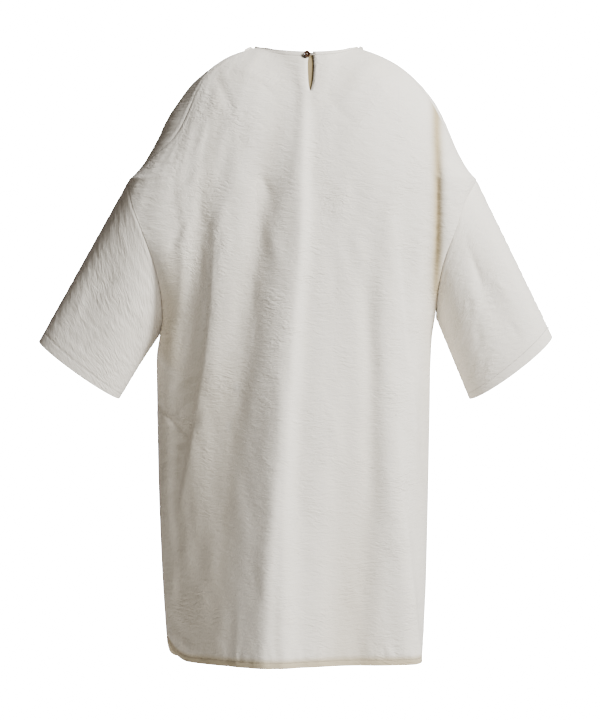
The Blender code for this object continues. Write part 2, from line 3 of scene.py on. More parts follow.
import bmesh
import bpy
import numpy as np
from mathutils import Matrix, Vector


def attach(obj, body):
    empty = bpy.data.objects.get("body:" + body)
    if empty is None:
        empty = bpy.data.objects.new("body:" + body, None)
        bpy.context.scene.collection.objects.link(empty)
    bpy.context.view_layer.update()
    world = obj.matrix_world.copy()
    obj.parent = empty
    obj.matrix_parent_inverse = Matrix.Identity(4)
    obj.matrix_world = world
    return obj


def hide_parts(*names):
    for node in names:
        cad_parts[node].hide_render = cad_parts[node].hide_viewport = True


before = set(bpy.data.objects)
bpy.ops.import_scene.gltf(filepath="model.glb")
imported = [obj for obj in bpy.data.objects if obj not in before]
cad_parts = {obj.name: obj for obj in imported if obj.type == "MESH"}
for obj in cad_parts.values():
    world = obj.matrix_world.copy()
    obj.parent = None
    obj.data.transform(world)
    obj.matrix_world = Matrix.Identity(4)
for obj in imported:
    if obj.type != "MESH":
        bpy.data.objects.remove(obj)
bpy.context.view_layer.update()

print("manteau: solids loaded")

# Metres. X is the wearer's left, the back faces plus Y, Z is up, and the neck's middle is the origin.
view = {
    "eye": (0.0104, 4.6, -0.4992),
    "lens": 143.75,      # 36 mm sensor on the picture's longer side
    "sensor": 36.0,
}
eye = bpy.data.cameras.new("photoCamera")
eye.lens = view["lens"]
eye.sensor_width = view["sensor"]
eye.clip_end = 60
eyeObject = bpy.data.objects.new("photoCamera", eye)
eyeObject.location = view["eye"]
eyeObject.rotation_euler = (math.pi / 2, 0, math.pi)
bpy.context.scene.collection.objects.link(eyeObject)
bpy.context.scene.camera = eyeObject

# The cut and the hang of the cloth, the same values as the solids have.
seamGap = 0.0003
hemDrop = 0.979
hemTurn = 0.0095
cuffTurn = 0.019
hemSideRise = 0.036
hemRiseFrom = 0.72
backNeckDrop = 0.0110
backNeckDepth = 0.056
frontNeckDrop = 0.082
frontNeckDepth = 0.088
neckLeanLength = 0.090
slitEndDrop = 0.0780
columns = 56
rows = 26
neckColumns = 6
slitRows = 7
armholeRows = 15
# The shoulder ridge seen from behind: drop, then half width on the wearer's left and right.
ridgeTable = (
    (0.000, 0.084, 0.084),
    (0.0064, 0.1128, 0.1040),
    (0.016, 0.138, 0.127),
    (0.030, 0.161, 0.153),
    (0.045, 0.178, 0.172),
    (0.064, 0.193, 0.189),
    (0.083, 0.2056, 0.204),
    (0.115, 0.2264, 0.223),
    (0.154, 0.249, 0.243),
    (0.192, 0.2715, 0.262),
    (0.2112, 0.284, 0.272),
)
# The armhole seam and the side seam under it: drop, then half width on the left and right.
edgeTable = (
    (0.2112, 0.284, 0.272),
    (0.256, 0.2744, 0.248),
    (0.293, 0.260, 0.236),
    (0.341, 0.2424, 0.2180),
    (0.390, 0.2312, 0.2085),
    (0.430, 0.2290, 0.2060),
    (0.459, 0.2344, 0.2015),
    (0.500, 0.2400, 0.1990),
    (0.576, 0.2392, 0.1976),
    (0.730, 0.2360, 0.1944),
    (0.883, 0.2285, 0.1900),
    (0.992, 0.2200, 0.1840),
)
# The panels' middle line and their depth to the back and to the front, by drop.
middleTable = (
    (0.00, -0.007, 0.104, 0.104),
    (0.07, -0.0045, 0.110, 0.110),
    (0.20, 0.004, 0.118, 0.124),
    (0.32, 0.010, 0.116, 0.130),
    (0.48, 0.020, 0.112, 0.124),
    (0.70, 0.020, 0.116, 0.120),
    (0.992, 0.020, 0.124, 0.124),
)
# The roundness of the shoulder, by the part of the way from the middle to the side.
roundTable = ((0.0, 0.10), (0.25, 0.10), (0.6, 0.14), (1.0, 0.24))
# How far the shoulder seam lies below the ridge on the back, left and right.
shoulderSeamTable = (
    (0.0, 0.0010, 0.0010),
    (0.35, 0.0170, 0.0060),
    (0.60, 0.0380, 0.0070),
    (0.85, 0.0120, 0.0040),
    (1.0, 0.0, 0.0),
)
# The open back slit seen from behind: drop, then half of its gap.
slitTable = ((0.0, 0.0036), (0.012, 0.0026), (0.024, 0.0046), (0.036, 0.0050), (0.052, 0.0042),
             (0.066, 0.0028), (0.0780, 0.0))
sleeves = {
    "left": dict(hand=1, underarm=0.459, swell=0.135, outer=(0.428, -0.4688),
                 inner=(0.2990, -0.5610), depth=0.043, sag=0.006),
    "right": dict(hand=-1, underarm=0.430, swell=0.120, outer=(-0.3928, -0.4608),
                  inner=(-0.2600, -0.5610), depth=0.043, sag=0.010),
}
# Drops at which each fold's row gives its place across, its height and its width.
foldDrops = (0.07, 0.16, 0.32, 0.48, 0.64, 0.80, 0.99)
# name, places across, heights in mm, width towards the left in mm, width towards the right in mm
# The back's rows follow a search that fitted shading to the picture, then smoothed and rounded.
# Their heights are estimates.
backFolds = (
    ("centreRidge", (0.002, 0.007, 0.012, 0.024, 0.033, 0.041, 0.048), (2, 6, 10, 17, 23, 28, 30),
     (16, 26, 34, 38, 42, 46, 46), (10, 12, 13, 14, 14, 20, 25)),
    ("slitRidge", (0.004, 0.006, 0.010, 0.019, 0.028, 0.039, 0.049), (4, 4, 2, -2, -5, -8, -10),
     (9, 18, 24, 14, 12, 15, 15), (5, 8, 11, 12, 12, 15, 16)),
    ("centreValley", (0.036, 0.052, 0.078, 0.100, 0.122, 0.142, 0.158), (-8, -12, -12, -11, -9, -5, 0),
     (18, 22, 28, 35, 42, 42, 38), (20, 18, 20, 23, 26, 26, 26)),
    ("leftLip", (0.127, 0.138, 0.151, 0.166, 0.184, 0.203, 0.218), (4, 4, 3, 1, 0, 1, 2),
     (7, 8, 12, 10, 8, 8, 8), (20, 20, 22, 22, 22, 20, 20)),
    ("leftValley", (0.132, 0.143, 0.163, 0.184, 0.205, 0.215, 0.220), (-10, -9, -6, -2, 0, 0, 0),
     (16, 18, 18, 22, 22, 20, 18), (14, 15, 15, 15, 15, 14, 14)),
    ("leftRidge", (0.160, 0.174, 0.195, 0.214, 0.218, 0.219, 0.220), (1, 4, 6, 5, 3, 2, 1),
     (15, 17, 17, 14, 12, 14, 14), (13, 12, 12, 10, 16, 20, 22)),
    ("leftSlope", (0.178, 0.188, 0.199, 0.208, 0.215, 0.213, 0.206), (-2, -5, -11, -22, -35, -36, -36),
     (24, 22, 18, 24, 25, 27, 30), (65, 65, 70, 86, 104, 98, 84)),
    ("middleRidge", (-0.056, -0.055, -0.053, -0.050, -0.047, -0.044, -0.036), (5, 2, 1, 1, 0, -1, -2),
     (18, 22, 20, 16, 14, 14, 15), (10, 10, 14, 20, 24, 23, 22)),
    ("rightTrough", (-0.040, -0.044, -0.050, -0.060, -0.068, -0.067, -0.064), (8, 4, -1, -5, -9, -16, -24),
     (24, 22, 26, 33, 38, 46, 48), (24, 27, 32, 38, 43, 49, 54)),
    ("rightValley", (-0.083, -0.089, -0.094, -0.099, -0.102, -0.093, -0.082), (3, 4, -1, -8, -8, -4, -3),
     (14, 18, 15, 14, 17, 22, 24), (17, 17, 18, 16, 17, 20, 20)),
    ("rightRidge", (-0.126, -0.129, -0.132, -0.135, -0.142, -0.156, -0.173), (2, 4, 4, 4, 8, 14, 20),
     (28, 25, 28, 31, 30, 28, 27), (10, 11, 16, 16, 12, 10, 10)),
    ("rightCrevice", (-0.201, -0.204, -0.207, -0.198, -0.190, -0.186, -0.183),
     (-6, -10, -14, -16, -12, -4, 0),
     (14, 24, 22, 17, 15, 16, 16), (10, 11, 12, 16, 20, 22, 14)),
)
# Sharper edges that only the finer cloth has room for, in the same columns.
backEdges = (
    ("hemFlap", (0.060, 0.064, 0.070, 0.080, 0.092, 0.102, 0.112), (0, 0, 0, 0, 0, 0, 5),
     (8, 8, 8, 8, 7, 6, 5), (20, 20, 20, 24, 26, 30, 34)),
    ("leftEdge", (0.134, 0.138, 0.145, 0.159, 0.190, 0.222, 0.226), (0, 1, 2, 5, 6, 0, 0),
     (4, 4, 4, 4, 5, 6, 6), (22, 22, 22, 24, 26, 20, 20)),
    ("rightEdge", (-0.120, -0.124, -0.140, -0.156, -0.180, -0.192, -0.192), (0, 0, 1, 3, 4, 0, 0),
     (22, 22, 22, 24, 24, 20, 20), (4, 4, 4, 4, 5, 6, 6)),
    ("creviceLine", (-0.203, -0.205, -0.207, -0.203, -0.198, -0.194, -0.190), (-4, -9, -11, -3, 0, 0, 0),
     (5, 5, 5, 6, 8, 8, 8), (5, 5, 5, 6, 8, 8, 8)),
)
frontFolds = (
    ("frontCentreValley", (0.004, 0.006, 0.012, 0.018, 0.014, 0.010, 0.006), (0, -3, -7, -12, -15, -17, -18),
     (18, 20, 22, 24, 26, 30, 32), (18, 20, 20, 22, 24, 26, 28)),
    ("frontLeftRidge", (0.090, 0.086, 0.078, 0.076, 0.080, 0.084, 0.086), (1, 6, 11, 15, 19, 22, 24),
     (18, 20, 22, 24, 26, 28, 30), (14, 16, 17, 18, 20, 22, 24)),
    ("frontLeftValley", (0.130, 0.132, 0.136, 0.140, 0.148, 0.154, 0.156), (-2, -7, -11, -13, -14, -12, -10),
     (14, 15, 16, 18, 20, 22, 22), (12, 13, 14, 16, 18, 20, 20)),
    ("frontLeftSideRidge", (0.170, 0.174, 0.180, 0.190, 0.196, 0.198, 0.198), (2, 7, 10, 9, 7, 6, 5),
     (12, 14, 14, 14, 14, 14, 14), (12, 12, 12, 12, 12, 12, 12)),
    ("frontRightRidge", (-0.086, -0.080, -0.068, -0.062, -0.064, -0.068, -0.070), (1, 6, 10, 14, 17, 19, 20),
     (16, 17, 18, 20, 22, 24, 26), (16, 18, 20, 22, 24, 26, 28)),
    ("frontRightValley", (-0.122, -0.120, -0.114, -0.114, -0.120, -0.126, -0.128),
     (-2, -7, -10, -12, -14, -14, -12),
     (14, 14, 15, 16, 18, 20, 20), (14, 14, 15, 16, 18, 20, 20)),
    ("frontRightSideRidge", (-0.160, -0.160, -0.158, -0.160, -0.164, -0.166, -0.166),
     (2, 7, 10, 11, 10, 8, 6),
     (12, 13, 14, 14, 16, 16, 16), (12, 12, 13, 13, 14, 14, 14)),
)
# Soft troughs and ridges of the sleeves: turn round the tube in degrees, part of the
# length, height in mm, half width in degrees, half length as a part.
sleeveFolds = {
    "left": ((62, 0.55, -5, 20, 0.45), (112, 0.35, 4, 18, 0.40), (205, 0.40, -4, 24, 0.50),
             (285, 0.55, 5, 22, 0.50)),
    "right": ((78, 0.42, -6, 18, 0.55), (36, 0.50, 3, 18, 0.50), (250, 0.45, -5, 24, 0.50),
              (310, 0.50, 4, 22, 0.50)),
}
facingColumns = 12
facingRows = 8
pocketTopDrop = 0.578
pocketEndDrop = 0.722

def through(table, column, x):
    # A smooth curve through one column of a table, level beyond its ends
    xs = np.array([row[0] for row in table])
    ys = np.array([row[column] for row in table])
    return hermite(xs, ys, x)


def hermite(xs, ys, x):
    x = np.clip(x, xs[0], xs[-1])
    step = np.diff(xs)
    rise = np.diff(ys) / step
    tangent = np.empty_like(ys)
    tangent[0] = rise[0]
    tangent[-1] = rise[-1]
    weight = step[1:] * rise[:-1] + step[:-1] * rise[1:]
    tangent[1:-1] = np.where(rise[:-1] * rise[1:] > 0, weight / (step[1:] + step[:-1]), 0.0)
    limit = 3 * np.minimum(np.abs(rise[:-1]), np.abs(rise[1:]))
    tangent[1:-1] = np.clip(tangent[1:-1], -limit, limit)
    i = np.clip(np.searchsorted(xs, x, side="right") - 1, 0, len(step) - 1)
    h = step[i]
    s = (x - xs[i]) / h
    start = (1 + 2 * s) * (1 - s) ** 2 * ys[i] + s * (1 - s) ** 2 * h * tangent[i]
    return start + s * s * (3 - 2 * s) * ys[i + 1] + s * s * (s - 1) * h * tangent[i + 1]


def byHand(table, u, x):
    # The left column of a table where u is positive, else the right one
    return np.where(u >= 0, through(table, 1, x), through(table, 2, x))


neckPart = neckColumns * 2 / columns
ridgeDrops = np.linspace(0.0, ridgeTable[-1][0], 400)
ridgeArc = {}
for sideName, sideColumn in (("left", 1), ("right", 2)):
    ridgeWide = through(ridgeTable, sideColumn, ridgeDrops)
    ridgeStep = np.hypot(np.diff(ridgeWide), np.diff(ridgeDrops))
    ridgeArc[sideName] = np.concatenate([[0.0], np.cumsum(ridgeStep)]) / ridgeStep.sum()


def ridgeDrop(u):
    # The drop of the shoulder ridge at each column
    part = np.clip((np.abs(u) - neckPart) / (1 - neckPart), 0, 1)
    left = np.interp(part, ridgeArc["left"], ridgeDrops)
    right = np.interp(part, ridgeArc["right"], ridgeDrops)
    return np.where(u >= 0, left, right)


def roundness(u):
    return through(roundTable, 1, np.abs(u))


def runOfDrop(u, drop):
    # The way along a column at which it has this drop
    r = roundness(u)
    below = np.maximum(drop - ridgeDrop(u), 0)
    return np.sqrt((r + below) ** 2 - r * r)


def hemAt(u):
    part = np.clip((np.abs(u) - hemRiseFrom) / (1 - hemRiseFrom), 0, 1)
    return hemDrop - hemSideRise * (1 - (1 - part * part) ** 0.6)


def topRun(u, side):
    # Where a column starts: on the neckline, or on the shoulder seam behind the ridge
    q = np.clip(np.abs(u) / neckPart, 0, 1)
    arch = np.cos(np.pi / 2 * q)
    deep = backNeckDrop * arch ** 2 if side > 0 else frontNeckDrop * arch
    atNeck = runOfDrop(u, deep)
    part = np.clip((np.abs(u) - neckPart) / (1 - neckPart), 0, 1)
    atSeam = runOfDrop(u, ridgeDrop(u) + byHand(shoulderSeamTable, u, part))
    return np.where(q < 1, atNeck, side * atSeam)


def underarmDrop(u):
    return np.where(u >= 0, sleeves["left"]["underarm"], sleeves["right"]["underarm"])


def rowBias(u, side):
    # Brings a row to the slit's end at the middle, and another to the underarm at the side
    middleTop = topRun(np.zeros_like(u), 1)
    middleEnd = runOfDrop(np.zeros_like(u), hemDrop)
    slitPart = (runOfDrop(np.zeros_like(u), slitEndDrop) - middleTop) / (middleEnd - middleTop)
    atMiddle = np.log(slitPart) / np.log(slitRows / (rows - 2))
    edge = np.where(u >= 0, 1.0, -1.0)
    armPart = runOfDrop(edge, underarmDrop(u)) / (runOfDrop(edge, hemAt(edge)) - hemTurn)
    atSide = np.log(armPart) / np.log(armholeRows / (rows - 2))
    return atMiddle + (atSide - atMiddle) * np.abs(u) ** 3


def columnRun(u, w, side):
    # The way along a column at row w; The last two rows hold the turned hem
    top = topRun(u, side)
    end = runOfDrop(u, hemAt(u)) - hemTurn
    body = top + (end - top) * np.clip(w / (rows - 2), 0, 1) ** rowBias(u, side)
    return body + 0.0012 * np.clip(w - rows + 2, 0, 1) + (hemTurn - 0.0012) * np.clip(w - rows + 1, 0, 1)


def foldHeight(folds, x, drop):
    total = np.zeros_like(x)
    drops = np.array(foldDrops)
    for name, places, heights, widthsLeft, widthsRight in folds:
        away = x - hermite(drops, np.array(places), drop)
        wide = np.where(away > 0, hermite(drops, np.array(widthsLeft, float), drop),
                        hermite(drops, np.array(widthsRight, float), drop)) / 1000
        total += hermite(drops, np.array(heights, float), drop) / 1000 * np.exp(-(away / wide) ** 2)
    return total


def bodyPoint(u, run, hand):
    # A point of the cloth; The run is above zero on the back and below zero on the front
    back = run >= 0
    way = np.abs(run)
    r = roundness(u)
    drop = ridgeDrop(u) + np.sqrt(way ** 2 + r * r) - r
    lean = way / np.sqrt(way ** 2 + r * r)
    under = underarmDrop(u)
    fall = np.cos(np.pi / 2 * np.clip((drop - ridgeTable[-1][0]) / (under - ridgeTable[-1][0]), 0, 2))
    soft = 0.9 * np.sqrt(np.maximum(1 - np.abs(u), 0))
    fall = 0.5 * (fall + np.sqrt(fall ** 2 + soft ** 2))
    sweep = np.pi / 2 * (1 - 0.34 * np.clip(fall, 0, 1))
    turn = np.abs(u) * sweep
    across = np.sin(turn) / np.sin(sweep)
    inward = np.sqrt(np.maximum(1 - across ** 2.6, 0))
    middle = through(middleTable, 1, drop)
    depth = np.where(back, through(middleTable, 2, drop), through(middleTable, 3, drop))
    edge = np.where(drop < ridgeTable[-1][0], byHand(ridgeTable, u, drop), byHand(edgeTable, u, drop))
    lowX = np.where(u >= 0, middle + (edge - middle) * across, middle - (edge + middle) * across)
    q = np.clip(np.abs(u) / neckPart, 0, 1)
    arch = np.cos(np.pi / 2 * q)
    topEdge = byHand(ridgeTable, u, ridgeDrop(u)) * np.where(np.abs(u) < neckPart, np.sin(np.pi / 2 * q), 1)
    topX = np.where(u >= 0, topEdge, -topEdge) + through(middleTable, 1, 0) * arch ** 2
    mix = np.clip(way / 0.30, 0, 1)
    mix = mix * mix * (3 - 2 * mix)
    mix = mix + (1 - mix) * np.abs(u) ** 8
    x = topX + (lowX - topX) * mix
    swell = np.where(u >= 0, sleeves["left"]["swell"], sleeves["right"]["swell"]) * fall
    lowY = depth * inward + swell * (1 - inward) * np.abs(u) ** 1.5
    y = lean * lowY
    neckDeep = np.where(back, backNeckDepth, frontNeckDepth)
    neckLow = np.where(back, backNeckDrop * arch ** 2, frontNeckDrop * arch)
    neckY = neckDeep * arch
    atNeck = neckY + (lowY - neckY) * (1 - np.exp(-(drop - neckLow) / neckLeanLength))
    hold = np.clip((q - 0.55) / 0.45, 0, 1)
    y = np.where(np.abs(u) < neckPart, atNeck + (y - atNeck) * hold * hold * (3 - 2 * hold), y)
    quiet = lean ** 3 * (1 - np.abs(u) ** 10) * (1 - np.exp(-way / 0.05))
    fold = np.where(back, foldHeight(backFolds + backEdges, x, drop), foldHeight(frontFolds, x, drop)) * quiet
    sideways = np.sin(turn) ** 5 * np.sign(u)
    x = x + fold * sideways * 0.7
    y = y + fold * np.sqrt(1 - sideways ** 2 * 0.8)
    near = np.clip(1 - np.abs(u) / 0.12, 0, 1)
    gap = np.where(back, hand * through(slitTable, 1, drop) * near, 0)
    return np.stack([x + gap, np.where(back, y, -y), -drop], axis=-1)


def unit(v):
    return v / np.maximum(np.linalg.norm(v, axis=-1, keepdims=True), 1e-12)


def outwards(grid, sign, tube=False):
    # The directions that face out of a grid of points, read from its own cells
    if tube:
        across = np.roll(grid, -1, axis=1) - np.roll(grid, 1, axis=1)
    else:
        across = np.gradient(grid, axis=1)
    return unit(np.cross(across, np.gradient(grid, axis=0))) * sign
def sleevePoint(side, loop, arc, s):
    # A point of the sleeve at each place of its loop and part s of its length
    settings = sleeves[side]
    turn = arc * 2 * np.pi
    outer = np.array([settings["outer"][0], 0, settings["outer"][1]])
    inner = np.array([settings["inner"][0], 0, settings["inner"][1]])
    middle = (outer + inner) / 2
    along = np.array([outer[2] - inner[2], 0, -(outer[0] - inner[0])])
    along = along / np.linalg.norm(along) * settings["hand"]
    cuff = middle + np.cos(turn)[..., None] * (outer - inner) / 2
    cuff = cuff + np.sin(turn)[..., None] * np.array([0, settings["depth"], 0])
    cuff = cuff + np.abs(np.sin(turn))[..., None] * settings["sag"] * along
    return loop + (cuff - loop) * s[..., None]


def partFrom(edge, inside, facing):
    # Edge points moved a half gap into the piece, square to their seam
    way = unit(np.cross(np.gradient(edge, axis=0), facing))
    way = way * np.sign(np.sum(way * (inside - edge), axis=-1, keepdims=True))
    return edge + way * seamGap / 2


def within(grid, column, row):
    # Points between those of a grid, at these places across and down it
    c = np.clip(np.floor(column).astype(int), 0, grid.shape[1] - 2)
    r = np.clip(np.floor(row).astype(int), 0, grid.shape[0] - 2)
    s = (column - c)[..., None]
    t = (row - r)[..., None]
    upper = grid[r, c] * (1 - s) + grid[r, c + 1] * s
    lower = grid[r + 1, c] * (1 - s) + grid[r + 1, c + 1] * s
    return upper * (1 - t) + lower * t


def placeAt(u, drop, out, hand):
    # A point out from the cloth, with the directions across, along and out
    size = np.array([[-0.001], [0.0], [0.001]])
    uNear = u + size.T + size * 0
    run = runOfDrop(uNear, drop + size + size.T * 0)
    points = bodyPoint(uNear, run, np.full_like(uNear, hand))
    normal = outwards(points, 1)[1, 1]
    across = unit(np.cross(np.array([0, 0, 1.0]), normal))
    along = np.cross(normal, across)
    return points[1, 1] + normal * out, across, along, normal


# The cloth as shown: a thin wall on the solids' own form, with finer lines across and down it.
cloth = {
    "wall": 0.0010,        # thickness of one layer as shown
    "hemWall": 0.0021,     # and where it is turned up
    "acrossSteps": 3,      # lines for each of the cut's columns
    "downSteps": 10,       # lines for each of its rows
    "seamRoll": 0.0007,    # how far an edge dips into its seam
    "rippleHeight": 0.00011,
}


def linesAcross():
    even = np.linspace(-1, 1, columns * cloth["acrossSteps"] + 1)
    close = (even[1] - even[0]) * np.array([0.15, 0.35, 0.62])
    return np.concatenate([[-1], -1 + close, even[1:-1], 1 - close[::-1], [1]])


def linesDown():
    even = np.linspace(0, rows - 2, (rows - 2) * cloth["downSteps"] + 1)
    close = even[1] * np.array([0.14, 0.34, 0.62])
    turned = rows - 2 + np.array([0.5, 1.0, 1.12, 1.3, 1.55, 1.8, 1.93, 2.0])
    return np.concatenate([[0], close, even[1:], turned])


acrossLines = linesAcross()
downLines = linesDown()
lastLine = len(acrossLines) - 1
middleLine = lastLine // 2
armholeLine = int(np.argmin(np.abs(downLines - armholeRows)))
slitLine = int(np.argmin(np.abs(downLines - slitRows)))


def eased(points):
    # takes the kinks out of the cloth beside the neck, its edges left where they are
    down = np.cumsum(np.linalg.norm(np.diff(points, axis=0, prepend=points[:1]), axis=-1), axis=0)
    away = np.abs(acrossLines)[None] / neckPart
    part = np.clip(down / 0.030, 0, 1) * np.clip((away - 0.25) / 0.35, 0, 1) * np.clip((3.2 - away) / 1.2,
        0, 1)
    part = part * np.clip((0.26 - down) / 0.10, 0, 1)
    for step in range(160):
        even = (points[:, :-2] + points[:, 2:]) / 2
        even[1:-1] = 0.7 * even[1:-1] + 0.15 * (points[:-2, 1:-1] + points[2:, 1:-1])
        points[:, 1:-1] += (0.6 * part[:, 1:-1])[..., None] * (even - points[:, 1:-1])
    return points


def rawPanel(side):
    w, u = np.meshgrid(downLines, acrossLines, indexing="ij")
    points = eased(bodyPoint(u, side * columnRun(u, w, side), np.where(u >= 0, 1.0, -1.0)))
    return points, outwards(points, side)


panels = {1: rawPanel(1), -1: rawPanel(-1)}
downGrid, acrossGrid = np.meshgrid(downLines, acrossLines, indexing="ij")
print("manteau: panels laid out,", len(downLines), "by", len(acrossLines))


def armhole(side):
    # down the back and up the front
    column = lastLine if sleeves[side]["hand"] > 0 else 0
    loop = []
    for back, front in zip(panels[1], panels[-1]):
        loop.append(np.concatenate([back[:armholeLine + 1, column], front[armholeLine - 1:0:-1, column]]))
    return loop


def ripples(x, y, seed, across, down, tilt=0.0, count=30):
    # waves of many lengths, long one way and short the other, the same on each run
    dice = np.random.default_rng(seed)
    total = np.zeros_like(x)
    for wave in range(count):
        lean = tilt + dice.normal(0, 0.16)
        a = x * np.cos(lean) + y * np.sin(lean)
        b = y * np.cos(lean) - x * np.sin(lean)
        a = a / (across * dice.uniform(0.6, 1.7)) + dice.random()
        b = b / (down * dice.uniform(0.6, 1.5)) + dice.random()
        total += np.sin(2 * np.pi * a) * np.sin(2 * np.pi * b)
    return total / np.sqrt(count / 4)


def creased(x, drop, table):
    # soft troughs and ridges laid one by one: start, end, height in mm, half width in mm
    total = np.zeros_like(x)
    for x0, drop0, x1, drop1, height, wide in table:
        long = np.hypot(x1 - x0, drop1 - drop0)
        along = ((x - x0) * (x1 - x0) + (drop - drop0) * (drop1 - drop0)) / long ** 2
        off = ((x - x0) * (drop1 - drop0) - (drop - drop0) * (x1 - x0)) / long
        off = off + 0.12 * long * (along * (1 - along)) * np.sign(height)
        ends = np.clip(np.minimum(along + 0.20, 1.20 - along) / 0.45, 0, 1)
        ends = ends * ends * (3 - 2 * ends)
        total += height / 1000 * np.exp(-(off * 1000 / wide) ** 2) * ends
    return total


# x and drop of the start and the end, height in mm, half width in mm
backCreases = (
    (0.140, 0.050, 0.115, 0.110, -1.6, 6), (0.120, 0.030, 0.070, 0.062, 0.7, 7),
    (0.085, 0.048, 0.050, 0.070, 0.6, 4),
    (0.075, 0.060, 0.045, 0.088, -0.6, 4), (-0.030, 0.080, -0.075, 0.130, -0.8, 7),
    (-0.150, 0.032, -0.190, 0.110, 1.0, 10),
    (0.168, 0.200, 0.205, 0.252, 1.2, 7), (0.185, 0.270, 0.215, 0.330, -1.4, 7),
    (0.120, 0.300, 0.145, 0.350, 0.9, 8),
    (0.176, 0.520, 0.212, 0.548, -2.0, 8), (0.180, 0.560, 0.226, 0.606, 2.2, 9),
    (0.168, 0.586, 0.205, 0.640, -1.8, 8),
    (0.190, 0.632, 0.232, 0.642, -1.2, 5), (0.196, 0.650, 0.234, 0.664, -1.0, 5),
    (0.205, 0.690, 0.236, 0.700, 1.0, 6),
    (0.110, 0.560, 0.140, 0.596, 0.8, 8), (0.116, 0.720, 0.150, 0.760, -0.9, 9),
    (0.200, 0.800, 0.218, 0.880, 1.2, 8),
    (0.216, 0.934, 0.170, 0.971, 1.8, 6), (0.222, 0.900, 0.186, 0.950, -1.5, 7),
    (0.150, 0.930, 0.128, 0.962, 0.8, 6),
    (-0.142, 0.955, -0.174, 0.976, 1.6, 5), (-0.130, 0.940, -0.160, 0.968, -1.0, 6),
    (-0.094, 0.944, -0.100, 0.966, 0.9, 5),
    (-0.112, 0.946, -0.120, 0.968, -0.8, 5), (-0.126, 0.950, -0.134, 0.968, 0.9, 4),
    (-0.160, 0.500, -0.190, 0.560, 1.4, 8), (-0.156, 0.610, -0.188, 0.650, -1.2, 7),
    (-0.176, 0.700, -0.190, 0.730, 1.0, 6),
    (-0.030, 0.560, -0.050, 0.640, 0.8, 9), (0.020, 0.700, -0.010, 0.790, -0.7, 10),
    (-0.070, 0.300, -0.100, 0.380, 0.8, 10),
    (0.060, 0.820, 0.080, 0.900, 0.8, 9), (-0.060, 0.820, -0.084, 0.900, 0.9, 9),
    (-0.205, 0.330, -0.180, 0.420, -1.6, 7),
)
frontCreases = (
    (0.060, 0.120, 0.110, 0.200, 1.0, 9), (-0.050, 0.130, -0.100, 0.210, 1.0, 9),
    (0.150, 0.260, 0.200, 0.330, -1.4, 8),
    (-0.140, 0.270, -0.190, 0.340, -1.4, 8), (0.160, 0.420, 0.205, 0.480, 1.4, 8),
    (-0.150, 0.430, -0.188, 0.490, 1.3, 8),
    (0.170, 0.600, 0.215, 0.660, -1.6, 8), (-0.150, 0.600, -0.186, 0.660, -1.4, 8),
    (0.030, 0.500, 0.060, 0.600, 0.9, 10),
    (-0.020, 0.640, -0.040, 0.740, -0.9, 10), (0.110, 0.760, 0.140, 0.840, 1.0, 9),
    (-0.100, 0.780, -0.124, 0.860, -1.0, 9),
    (0.190, 0.880, 0.170, 0.950, 1.4, 7), (-0.150, 0.900, -0.130, 0.960, 1.2, 7),
    (0.040, 0.930, 0.052, 0.966, 0.8, 5),
    (-0.020, 0.160, 0.020, 0.170, -0.8, 9), (0.000, 0.260, 0.012, 0.360, -0.9, 11),
)


def reliefOf(side, points, across, down):
    # all that lies on a panel and is finer than its big folds
    x = points[..., 0]
    drop = -points[..., 2]
    fromHem = down[-1:] - down
    fromSide = np.minimum(across, across[:, -1:] - across)
    neck = np.abs(acrossGrid) < neckPart
    dip = np.maximum(np.exp(-(fromSide / 0.0024) ** 2), np.where(neck, 0, np.exp(-(down / 0.0024) ** 2)))
    welt = np.exp(-((fromSide - 0.0075) / 0.0030) ** 2) + np.where(neck, 0,
        np.exp(-((down - 0.0075) / 0.0030) ** 2))
    relief = cloth["seamRoll"] * (0.35 * welt - dip)
    calm = (1 - np.exp(-(fromSide / 0.016) ** 2)) * (1 - np.exp(-(down / 0.018) ** 2))
    calm = calm * np.clip(0.25 + fromHem / 0.030, 0, 1)
    seed = 11 if side > 0 else 29
    lively = 1 + 0.4 * np.exp(-((fromSide - 0.05) / 0.05) ** 2)
    relief = relief + calm * lively * cloth["rippleHeight"] * ripples(x, drop, seed, 0.060, 0.016)
    relief = relief + calm * 0.00025 * ripples(across, drop, seed + 2, 0.050, 0.190, 0.0, 16)
    table = backCreases if side > 0 else frontCreases
    relief = relief + np.clip(calm * 1.3, 0, 1) * creased(x, drop, table)
    if side > 0:
        off, along = mouthAway(x, drop)
        there = np.clip((1.25 - along) / 0.3, 0, 1)
        relief = relief + 0.0007 * there * np.exp(-((off - 0.002) / 0.009) ** 2) * (off > -0.001)
        relief = relief - 0.0022 * there * np.exp(-((off + 0.003) / 0.0052) ** 2)
    # the turned hem: a dip at its stitches, with small puckers above them
    relief = relief - 0.00045 * np.exp(-((fromHem - 0.0090) / 0.0012) ** 2)
    above = np.exp(-((fromHem - 0.017) / 0.010) ** 2)
    relief = relief + above * 0.00050 * ripples(across, down, seed + 3, 0.016, 0.080)
    edgeBand = np.where(neck, 0.0090 - 0.0022 * (acrossGrid < 0), 1.0)
    relief = relief - np.where(neck, 0.00040 * np.exp(-((down - edgeBand) / 0.0012) ** 2), 0)
    return relief


# the pocket's slanted mouth at the left side: x and drop of its two ends
pocketMouth = (0.2345, 0.5795, 0.1955, 0.6170)


def mouthAway(x, drop):
    # the way up and in from the mouth's line, and the part of the way along it
    x0, drop0, x1, drop1 = pocketMouth
    long = np.hypot(x1 - x0, drop1 - drop0)
    along = ((x - x0) * (x1 - x0) + (drop - drop0) * (drop1 - drop0)) / long ** 2
    off = ((x1 - x) * (drop1 - drop0) - (drop1 - drop) * (x1 - x0)) / long
    return -off, along


